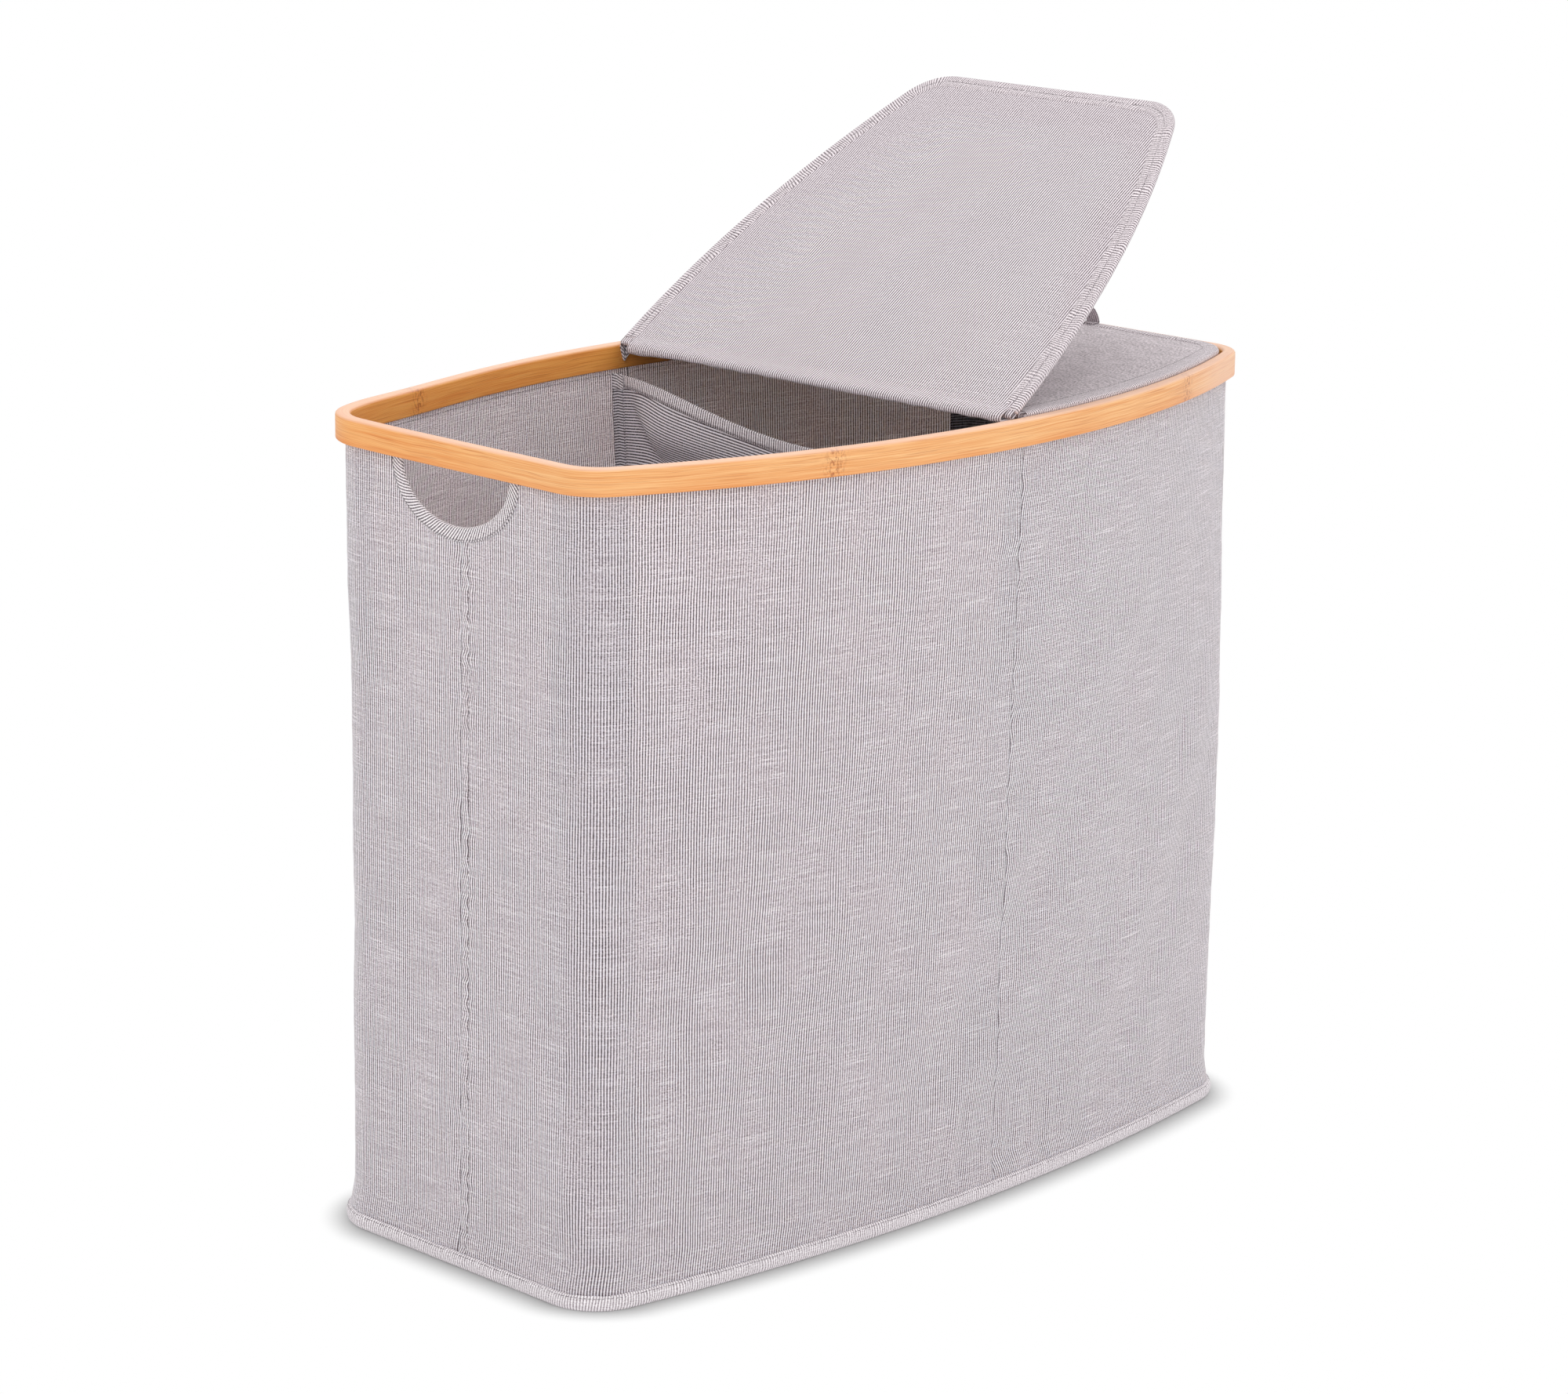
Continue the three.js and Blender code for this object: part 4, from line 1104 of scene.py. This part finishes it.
# One strip and the end of the top binding that laps over it: the profile at each height, shifted
# with the divider's sway, rippled softly along its bend
def makeFlange(sideName, signY):
    low, top = flangeLook["low"], flangeLook["top"]
    long = np.concatenate([np.linspace(low, 40 * mm, 12), np.linspace(44 * mm, top, 170)])
    short = np.linspace(top - flangeLook["endTape"], top + 0.6 * mm, 18)

    def strip(name, node, z, first, material, slope):
        wall = sewnReach(z, np.full_like(z, signY), 0.15 * mm)[:, None]
        grids = []
        for lift in (first + flangeLook["skin"], first):
            away, off = flangeProfile(lift)
            y, level = wall - off, z[:, None]
            sway = dividerSway(signY * y, level, wall) * np.clip(off / (3 * mm), 0, 1)
            soft = 0.2 * mm * np.sin(2 * math.pi * level / 0.012) * bump(off, 3 * mm, 2.5 * mm)
            grids.append(gridOf(sway - away - np.abs(soft), signY * y, level))
        across = lengthAlong(gridOf(away, off))
        piece = clothShell(name, *grids, gridOf(level + slope * across, across), material)
        seat(piece, node)
        return grids[0]

    sewn = strip(f"divider_flange_tape_{sideName}", f"divider_flange_{sideName}",
                 long, 0.0, dividerMaterial, 0.0)
    strip(f"divider_tape_end_{sideName}", "divider_top_binding", short, 0.75 * mm,
          tapeMaterial, 0.3)
    for label, k, facing in (("edge", 1, (0, -signY, 0)), ("root", -2, (-1, 0, 0))):
        stitchRow(f"flange_stitches_{sideName}_{label}", sewn[:, k], np.tile(facing, (len(sewn), 1)))


for sideName, signY in sides:
    makeFlange(sideName, signY)
makeDivider()


# Corner sleeves: a strip of cloth sewn to the wall along both edges, bulging over the rod between
# them by a squared sine
def makeSleeve(sideName, endName, signY, signX):
    q = np.linspace(0.965, 2.12, 40)[:, None]
    z = np.linspace(9.5 * mm, plan["rimBottom"] - 3 * mm, 120)[None]
    overRod = np.sin(math.pi * np.clip(q - 1, 0, 1)) ** 2
    wallX, wallY = wallPoint(q, z)
    swell = 5.2 * mm * overRod - clothSwell(wallX * signX, wallY * signY, z) * (1 - overRod)
    grids = []
    for depth in (0.2 * mm, 1.0 * mm):
        x, y = wallPoint(q, z, wallLook["thickness"] + depth + swell)
        grids.append(settled(gridOf(x * signX, y * signY, z), 1 - overRod))
    name, run = f"{sideName}_{endName}", lengthAlong(grids[1])
    piece = clothShell(f"sleeve_cloth_{name}", *grids, gridOf(z, run), sleeveMaterial)
    seat(piece, f"corner_sleeve_{name}")
    for label, k, facing in (("a", 1, [0.0, -signY, 0.0]), ("b", -2, [-signX, 0.0, 0.0])):
        stitchRow(f"sleeve_stitches_{name}_{label}", grids[1][k], np.tile(facing, (z.size, 1)))


for corner in corners:
    makeSleeve(*corner)


# A stitch line inside, just below the rim, where the walls' top is turned in. It stops on both
# sides of a carrying hole.
def makeTopStitches():
    q, signX, signY = loopStations(90, 18, 30)
    z = np.full_like(q, plan["rimBottom"] - 3.6 * mm)
    x, y = wallPoint(q, z, wallLook["thickness"] + 0.15 * mm)
    path = settled(gridOf(x * signX, y * signY, z))
    inward = -unit(gridOf(x * signX, y * signY, 0 * z))
    overHole = np.abs(y * signY - plan["holeOff"]) < plan["holeHalfWidth"] + 11 * mm
    covered = ~((q > 2) & overHole)
    runs = np.split(np.arange(len(q)), np.flatnonzero(np.diff(covered.astype(int))) + 1)
    for number, run in enumerate(r for r in runs if covered[r[0]] and len(r) > 3):
        stitchRow(f"top_stitches_{number}", path[run], inward[run])


makeTopStitches()
print("stage: divider, sleeves and stitching done")


# Hinge band across the middle. The profile, in x and z, starts under the closed lid, curls round
# below the raised lid's fold and ends on its underside.
hingeLook = {
    "profile": ((9.0, 577.05), (0.0, 577.0), (-3.2, 576.9), (-5.0, 577.7), (-5.4, 579.7), (-4.2, 582.0),
                (-1.2, 584.0), (1.8, 585.2), (4.8, 586.4), (7.6, 588.1), (10.0, 589.8)),
    "turnsFrom": (-2.5 * mm, 0, 577.5 * mm),
    "turnsTo": (5.3 * mm, 0, 585.8 * mm),
    "span": (-0.187, 0.180),
    "skin": (1.5 * mm, 1.2 * mm, 0.3 * mm),       # thickness at the start, at the roll and at the end
    "droop": 2.5 * mm,                            # the rear end hangs this much lower
    "tails": {"front": (577.5 * mm, 9.5 * mm, 0.0),
              "rear": (581.5 * mm, 13.0 * mm, 2.6 * mm)},     # top, width there, lean off the rim
    "tailTip": 567.1 * mm,
    "tailSkin": 0.9 * mm,
}


# Rounds a polyline by cutting its corners: each stretch gives points at a quarter and three quarters
def rounded(points):
    for _ in range(3):
        near, far = points[:-1], points[1:]
        cut = np.stack([near * 0.75 + far * 0.25, near * 0.25 + far * 0.75], axis=1).reshape(-1, 2)
        points = np.concatenate([points[:1], cut, points[-1:]])
    return points


# The band: its profile carried over the width between the rim's sides. It gets thinner towards the
# raised lid, ripples a little along its roll and droops at its rear end.
def makeHingeBand():
    front, rear = hingeLook["span"]
    profile = rounded(np.array(hingeLook["profile"]) * mm)
    run = lengthAlong(profile)
    share = run / run[-1]
    tangent = unit(np.gradient(profile, axis=0))
    inward = gridOf(tangent[:, 1], -tangent[:, 0])
    thick = np.interp(share, [0, 0.45, 1], hingeLook["skin"])
    y = np.linspace(front, rear, 240)[None]
    swell = 0.28 * mm * softNoise(share[:, None] * 0.01, y, 0.02, 71) * bump(share, 0.45, 0.25)[:, None]
    droop = hingeLook["droop"] * smooth((y - 0.120) / 0.060) * bump(share, 0.30, 0.18)[:, None]
    grids = []
    for offset in (0, 1):
        flat = profile + inward * (thick * offset)[:, None]
        grids.append(gridOf(flat[:, :1] - inward[:, :1] * swell, y,
                            flat[:, 1:] - inward[:, 1:] * swell - droop))
    piece = clothShell("hinge_band", *grids, gridOf(y, run[:, None]), lidUnderMaterial)
    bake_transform(piece)
    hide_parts("hinge_strip")


# A tail of the band: it hangs down the rim's inner face like a fan, wide at the top with straight
# sides that close to a tip, and its pleats run from the top edge to the tip
def makeHingeTail(sideName, signY):
    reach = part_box("hinge_strip")[1][1] + 0.1 * mm
    top, wide, lean = hingeLook["tails"][sideName]
    t = np.linspace(0, 1, 26)[:, None]
    share = np.linspace(0, 1, 24)[None]
    z = top + (hingeLook["tailTip"] - top) * t
    left = np.interp(t, [0, 1], [-1.0, 3.6]) * mm
    right = np.interp(t, [0, 0.55, 1], [wide, wide - 1.5 * mm, 4.6 * mm])
    x = left + (right - left) * share
    over = -lean * (1 - smooth((top - z) / (4 * mm)))
    pleats = 0.55 * mm * (1 - np.cos(2 * math.pi * share * 3)) * smooth(t * 1.5) * (1 - 0.4 * t)
    grids = [gridOf(x, signY * (reach + over - pleats - skin), z)
             for skin in (hingeLook["tailSkin"], 0.0)]
    uv = gridOf(t * 9.6 * mm + np.abs(share - 0.45) * 9 * mm, x)
    piece = clothShell(f"hinge_tail_{sideName}", *grids, uv, tapeMaterial)
    seat(piece, "hinge_strip")


makeHingeBand()
for sideName, signY in sides:
    makeHingeTail(sideName, signY)


# Lids
lidLook = {
    "half": 2.0 * mm,              # half the thickness of board and cloths
    "edge": 2.6 * mm,              # half the thickness of the bound edge
    "skin": 0.5 * mm,
    "tape": 13.5 * mm,
    "tapeStart": 6.2 * mm,         # the tape begins this far from the fold
    "underEdge": 1.2 * mm,         # the cloths end this far inside the edge, under the tape
    "crown": 0.7 * mm,             # cloth stands this much higher between the bindings
    "lap": 9 * mm,
    "stitches": {"top": (1, 12.4 * mm, 0.52 * mm),       # face, inset from the edge, lift
                 "under": (-1, 7.2 * mm, 0.40 * mm)},
}
foldAt = {"left": plan["foldLeft"], "right": plan["foldRight"]}
lidShape = (plan["lidEnd"] - 0.9 * mm, plan["rimShape"][1] - plan["lidInset"],
            plan["rimShape"][2] - plan["lidInset"], plan["lidCorner"] + 3.5 * mm)


# From a lid's own closed frame, x outwards from the middle and z from its middle plane, to its
# place: mirrored for the left one, lifted to the lid's height and turned open about its axis
def placeLid(points, endName):
    out = np.array(points, dtype=float)
    out[..., 2] += plan["lidMiddle"]
    if endName == "right":
        return out
    out[..., 0] *= -1
    axisX, axisZ = plan["axisLeft"]
    x, z = out[..., 0] - axisX, out[..., 2] - axisZ
    cosine, sine = math.cos(plan["openLeft"]), math.sin(plan["openLeft"])
    out[..., 0] = axisX + x * cosine + z * sine
    out[..., 2] = axisZ - x * sine + z * cosine
    return out


# Spacing over the lid's length, closer together towards the rounded end
def lidLengths(start, stop, count):
    t = np.linspace(0, 1, count)
    return start + (stop - start) * np.sin(t * math.pi / 2)


# How far a point lies inside its cloth's borders, from 0 at a border to 1 where the crown is full
def insideCloth(x, y, width, stop):
    return np.clip((width - np.abs(y)) / 0.02, 0, 1) * np.clip((stop - x) / 0.02, 0, 1)


# The cloth that covers the underside and wraps the fold: a profile from a lap on top, round the
# fold and along the underside, spread over the lid's width at each point
def makeLidUnder(endName):
    fold, half, skin = foldAt[endName], lidLook["half"], lidLook["skin"]
    shape = insetShape(lidShape, lidLook["underEdge"])
    stop = shape[0]
    angle = np.linspace(math.pi / 2, 3 * math.pi / 2, 13)
    lapX = np.linspace(fold + lidLook["lap"], fold + half, 5)[:-1]
    flatX = lidLengths(fold + half, stop, 110)[1:]

    def profile(radius):
        x = np.concatenate([lapX, fold + half + radius * np.cos(angle), flatX])
        z = np.concatenate([np.full(len(lapX), radius), radius * np.sin(angle),
                            np.full(len(flatX), -radius)])
        return x[:, None], z[:, None]

    (x, z), (innerX, innerZ) = profile(half), profile(half - skin)
    width = halfWidthAt(shape, np.abs(x))
    y = width * np.linspace(-1, 1, 90)[None]
    inside = insideCloth(x, y, width, stop) * np.clip((x - fold) / 0.012, 0, 1)
    ripple = 0.25 * mm * softNoise(x, y, 0.07, 21)
    crown = (lidLook["crown"] + ripple) * inside * (z < 0)
    run = lengthAlong(gridOf(x[:, 0], z[:, 0]))
    outer, inner = (placeLid(points, endName)
                    for points in (gridOf(x, y, z - crown), gridOf(innerX, y, innerZ)))
    piece = clothShell(f"lid_underside_{endName}", outer, inner, gridOf(y, run[:, None]),
                       lidUnderMaterial)
    seat(piece, f"lid_under_cloth_{endName}", f"lid_{endName}")


# The cloth on top, from the lap to the free end, crowned a little less than the underside
def makeLidTop(endName):
    shape = insetShape(lidShape, lidLook["underEdge"])
    x = lidLengths(foldAt[endName] + lidLook["lap"] + 0.2 * mm, shape[0], 90)[:, None]
    width = halfWidthAt(shape, np.abs(x))
    y = width * np.linspace(-1, 1, 70)[None]
    ripple = 0.2 * mm * softNoise(x, y, 0.08, 31)
    crown = (lidLook["crown"] * 0.8 + ripple) * insideCloth(x, y, width, shape[0])
    outer, inner = (placeLid(gridOf(x, y, z), endName)
                    for z in (lidLook["half"] + crown, lidLook["half"] - lidLook["skin"]))
    piece = clothShell(f"lid_topside_{endName}", outer, inner, gridOf(y, x), lidTopMaterial)
    seat(piece, f"lid_top_cloth_{endName}", f"lid_{endName}")


# Stations round one lid, from one fold corner along the side, round the end and back
def lidPath(sides=120, corners=26, ends=49):
    up = quarterStations(sides, corners, ends)
    q = np.concatenate([up, up[::-1][1:]])
    signY = np.concatenate([np.ones(len(up)), -np.ones(len(up) - 1)])
    return q, signY


# The bound edge: a rolled outer edge and a flatter inner part that ends in a step. Below, a valley
# holds the stitching near the roll; above, the stitching runs near the step. Puckers between the
# stitches run across it, and longer ones make the stripes waver.
def makeLidTape(endName):
    e, half, w = lidLook["edge"], lidLook["half"], lidLook["tape"]
    roll = np.linspace(0, math.pi / 2, 8)
    above = np.array([[w, half - 0.1 * mm], [w - 0.3 * mm, half + 0.55 * mm],
                      [w - 1.1 * mm, half + 0.5 * mm], [w - 2.6 * mm, half + 0.85 * mm],
                      [8.6 * mm, half + 0.9 * mm], [6.4 * mm, half + 0.8 * mm], [4.6 * mm, e]])
    below = np.array([[4.6 * mm, e], [5.8 * mm, half + 0.75 * mm], [7.2 * mm, half + 0.35 * mm],
                      [8.6 * mm, half + 0.8 * mm], [10.2 * mm, half + 1.0 * mm],
                      [12.2 * mm, half + 0.9 * mm], [w - 0.3 * mm, half + 0.6 * mm],
                      [w, half - 0.1 * mm]])
    rollDepth, rollHeight = e - e * np.sin(roll), e * np.cos(roll)
    depth = np.concatenate([above[:, 0], rollDepth, rollDepth[::-1][1:], below[:, 0]])
    height = np.concatenate([above[:, 1], rollHeight, -rollHeight[::-1][1:], -below[:, 1]])
    q, signY = lidPath()
    start = foldAt[endName] + lidLook["tapeStart"]
    x, y = quarterPoint(lidShape, q, start)
    run = lengthAlong(gridOf(x, y * signY))
    rings = []
    for d, h in zip(depth, height):
        x, y = quarterPoint(insetShape(lidShape, d), q, start)
        calm = np.clip((x - start) / 0.025, 0, 1)          # flatter and thinner beside the fold
        middle = bump(d, 8.5 * mm, 4 * mm) * calm
        stitchWave = np.sin(2 * math.pi * run / 0.0036 + 2.5 * np.sin(run * 31))
        pucker = 0.16 * mm * (stitchWave + softNoise(run, run * 0 + d, 0.02, 8)) * middle
        rings.append(gridOf(x, y * signY, h * (0.91 + 0.09 * calm) + np.sign(h) * pucker))
    around = lengthAlong(gridOf(depth, height))[None]
    waver = 1.2 * mm * softNoise(run[:, None], around, 0.03, 13) + 0.12 * around
    piece = sectionSweep(f"lid_edge_tape_{endName}", placeLid(np.stack(rings, axis=1), endName),
                         gridOf(run[:, None] + waver, around), edgeMaterial)
    seat(piece, f"lid_binding_{endName}", f"lid_{endName}")
    for label, (face, inset, lift) in lidLook["stitches"].items():
        x, y = quarterPoint(insetShape(lidShape, inset), q, start)
        path = gridOf(x, y * signY, face * (half + lift))
        placed = placeLid(path, endName)
        facing = placeLid(path + [0, 0, face * mm], endName) - placed
        stitchRow(f"lid_stitches_{endName}_{label}", placed, facing, f"lid_{endName}")


# Pull tab
tabLook = {
    "lean": 0.58,                  # towards the hinge, as a share of its height
    "height": 12.2 * mm,
    "half": 6.2 * mm,              # half its width
    "shift": 7.0 * mm,             # its middle lies this far to the rear
    "foot": 8 * mm,
    "skin": 0.62 * mm,
}


# One tape doubled over and sewn down by its foot. Its profile is the foot, a bend upwards and a
# blade that leans towards the hinge by a square law, carried across its width and thinner at its
# borders.
def makeTab(endName):
    floor, edge = lidLook["edge"] + 0.15 * mm, lidShape[0] - 2.4 * mm
    t = np.linspace(0, 1, 30)
    bow = tabLook["lean"] * tabLook["height"] * (0.3 * t + 0.7 * t ** 2)
    blade = gridOf(edge - 1.0 * mm - bow, floor + 0.6 * mm + tabLook["height"] * t)
    foot = gridOf(np.linspace(edge - tabLook["foot"], edge - 1.6 * mm, 8), floor + 0.55 * mm)
    centre = np.concatenate([foot, blade[1:]])
    tangent = unit(np.gradient(centre, axis=0))
    normal = gridOf(-tangent[:, 1], tangent[:, 0])
    ends = np.abs(np.linspace(-1, 1, len(centre))) ** 6
    across = np.sin(np.linspace(-math.pi / 2, math.pi / 2, 14))
    y = (tabLook["shift"] + tabLook["half"] * across)[None]
    taper = tabLook["skin"] * np.clip(1.15 - ends, 0.5, 1)
    thick = taper[:, None] * (1 - 0.35 * np.abs(across[None]) ** 8)
    outer, inner = (placeLid(gridOf(centre[:, :1] + side * normal[:, :1] * thick, y,
                                    centre[:, 1:] + side * normal[:, 1:] * thick), endName)
                    for side in (1, -1))
    uv = gridOf(y, lengthAlong(centre)[:, None])
    piece = clothShell(f"tab_{endName}", outer, inner, uv, edgeMaterial)
    seat(piece, f"pull_tab_{endName}", f"lid_{endName}")


for endName, _ in ends:
    makeLidTape(endName)
    makeLidUnder(endName)
    makeLidTop(endName)
    makeTab(endName)
print("stage: lids made")


# Floor, light and camera
stageLook = {
    "floor": 0.94,
    "floorSize": 14.0,
    "shadow": 0.34,
    "shadowReach": (-0.010, 0.028),               # the painted shadow begins and ends this far from the foot
    "world": 0.87,
    "lamps": {                                    # place, target, size and power
        "keyLamp": ((-2.6, -1.7, 2.3), (0, 0, 0.35), 1.8, 18.8),
        "fillLamp": ((1.2, -3.0, 1.6), (0, 0, 0.3), 2.2, 11.0),
        "topLamp": ((0.2, 0.3, 3.0), (0, 0, 0.4), 2.6, 18.5),
    },
}


# 1 for rays from the camera and for reflected and refracted ones, which see the white background
def seenDirectly(tree):
    rays = addNode(tree, "ShaderNodeLightPath")
    seen = compute(tree, "MAXIMUM", rays.outputs["Is Camera Ray"], rays.outputs["Is Glossy Ray"])
    return compute(tree, "MAXIMUM", seen, rays.outputs["Is Transmission Ray"])


# An object's matrix from its three axes and its place
def posed(xAxis, yAxis, zAxis, place):
    return Matrix(np.vstack([np.column_stack([xAxis, yAxis, zAxis, place]), [0, 0, 0, 1]]).tolist())


# The floor is white paper. For the camera it is pure white beyond a narrow painted contact shadow:
# a grey base colour on the lit surface that blends into white by the distance from the foot, that
# of a box with round corners and bowed sides.
def makeFloor():
    size = stageLook["floorSize"]
    mesh = bpy.data.meshes.new("floor")
    square = [(-size, -size, 0), (size, -size, 0), (size, size, 0), (-size, size, 0)]
    mesh.from_pydata(square, [], [(0, 1, 2, 3)])
    material, tree, shader = startMaterial("floorPaper")
    shader.inputs["Roughness"].default_value = 0.9
    shader.inputs["Specular IOR Level"].default_value = 0.1
    seen = seenDirectly(tree)
    # painted shadow: a grey base colour for camera rays, paper white for the other rays
    paper = mixColor(tree, seen, *((stageLook[key],) * 3 + (1,) for key in ("floor", "shadow")))
    tree.links.new(paper, shader.inputs["Base Color"])
    base = addNode(tree, "ShaderNodeTexCoord").outputs["Object"]
    place = addNode(tree, "ShaderNodeSeparateXYZ", {0: base})
    halfLength, halfWidth, sideRadius, corner = plan["footShape"]
    x, y = (compute(tree, "ABSOLUTE", place.outputs[k]) for k in (0, 1))
    bow = compute(tree, "DIVIDE", compute(tree, "MULTIPLY", x, x), 2 * sideRadius)
    beyond = ((x, halfLength), (compute(tree, "ADD", y, bow), halfWidth))
    outX, outY = (compute(tree, "MAXIMUM", compute(tree, "SUBTRACT", value, limit - corner), 0.0)
                  for value, limit in beyond)
    squares = (compute(tree, "MULTIPLY", out, out) for out in (outX, outY))
    away = compute(tree, "SUBTRACT", compute(tree, "SQRT", compute(tree, "ADD", *squares)), corner)
    amount = compute(tree, "MULTIPLY", seen, remap(tree, away, *stageLook["shadowReach"]))
    light = addNode(tree, "ShaderNodeEmission", {"Color": (1, 1, 1, 1), "Strength": 1.0})
    mixed = addNode(tree, "ShaderNodeMixShader", {0: amount, 1: shader.outputs[0], 2: light.outputs[0]})
    tree.links.new(mixed.outputs[0], tree.nodes["Material Output"].inputs["Surface"])
    mesh.materials.append(material)
    link("floor", mesh)


# Soft white light all round, and plain white where the world itself is seen
def makeWorld():
    world = bpy.data.worlds.new("studio")
    world.use_nodes = True
    tree = world.node_tree
    soft = tree.nodes["Background"]
    soft.inputs["Color"].default_value = (1, 1, 1, 1)
    soft.inputs["Strength"].default_value = stageLook["world"]
    white = addNode(tree, "ShaderNodeBackground", {"Color": (1, 1, 1, 1), "Strength": 1.0})
    mixed = addNode(tree, "ShaderNodeMixShader", {0: seenDirectly(tree), 1: soft.outputs[0],
                                                  2: white.outputs[0]})
    tree.links.new(mixed.outputs[0], tree.nodes["World Output"].inputs["Surface"])
    bpy.context.scene.world = world


# A square lamp that looks at its target
def makeLamp(name, place, target, size, power):
    lamp = bpy.data.lights.new(name, "AREA")
    lamp.shape = "SQUARE"
    lamp.size = size
    lamp.energy = power
    away = unit(np.array(place) - np.array(target))
    xAxis = unit(np.cross([0, 0, 1.0], away))
    link(name, lamp).matrix_world = posed(xAxis, np.cross(away, xAxis), away, place)


# Camera from yaw, pitch, roll and distance to a point, fitted to the photograph's edges
cameraLook = {
    "yaw": 46.040,
    "pitch": 14.532,
    "roll": 0.795,
    "distance": 3.33877,
    "target": (-0.01968, 0.0, 0.350535),
    "focal": 5911.251,             # in pixels of the photograph's width
    "pixels": 2000,
    "sensor": 36.0,
    "farthest": 60,
}


# Its axes: forward from yaw and pitch, right level with the floor, both rolled about forward
def makeCamera():
    yaw, pitch, roll = (math.radians(cameraLook[k]) for k in ("yaw", "pitch", "roll"))
    forward = np.array([math.sin(yaw) * math.cos(pitch), math.cos(yaw) * math.cos(pitch),
                        -math.sin(pitch)])
    right = np.array([math.cos(yaw), -math.sin(yaw), 0.0])
    up = np.cross(right, forward)
    xAxis = right * math.cos(roll) + up * math.sin(roll)
    yAxis = -right * math.sin(roll) + up * math.cos(roll)
    data = bpy.data.cameras.new("camera")
    data.sensor_fit = "HORIZONTAL"
    data.sensor_width = cameraLook["sensor"]
    data.lens = cameraLook["focal"] * cameraLook["sensor"] / cameraLook["pixels"]
    data.clip_end = cameraLook["farthest"]
    camera = link("camera", data)
    place = np.array(cameraLook["target"]) - forward * cameraLook["distance"]
    camera.matrix_world = posed(xAxis, yAxis, -forward, place)
    bpy.context.scene.camera = camera


makeFloor()
makeWorld()
for name, (place, target, size, power) in stageLook["lamps"].items():
    makeLamp(name, place, target, size, power)
makeCamera()
bpy.context.scene.view_settings.view_transform = "Standard"
print("stage: floor, light and camera set")
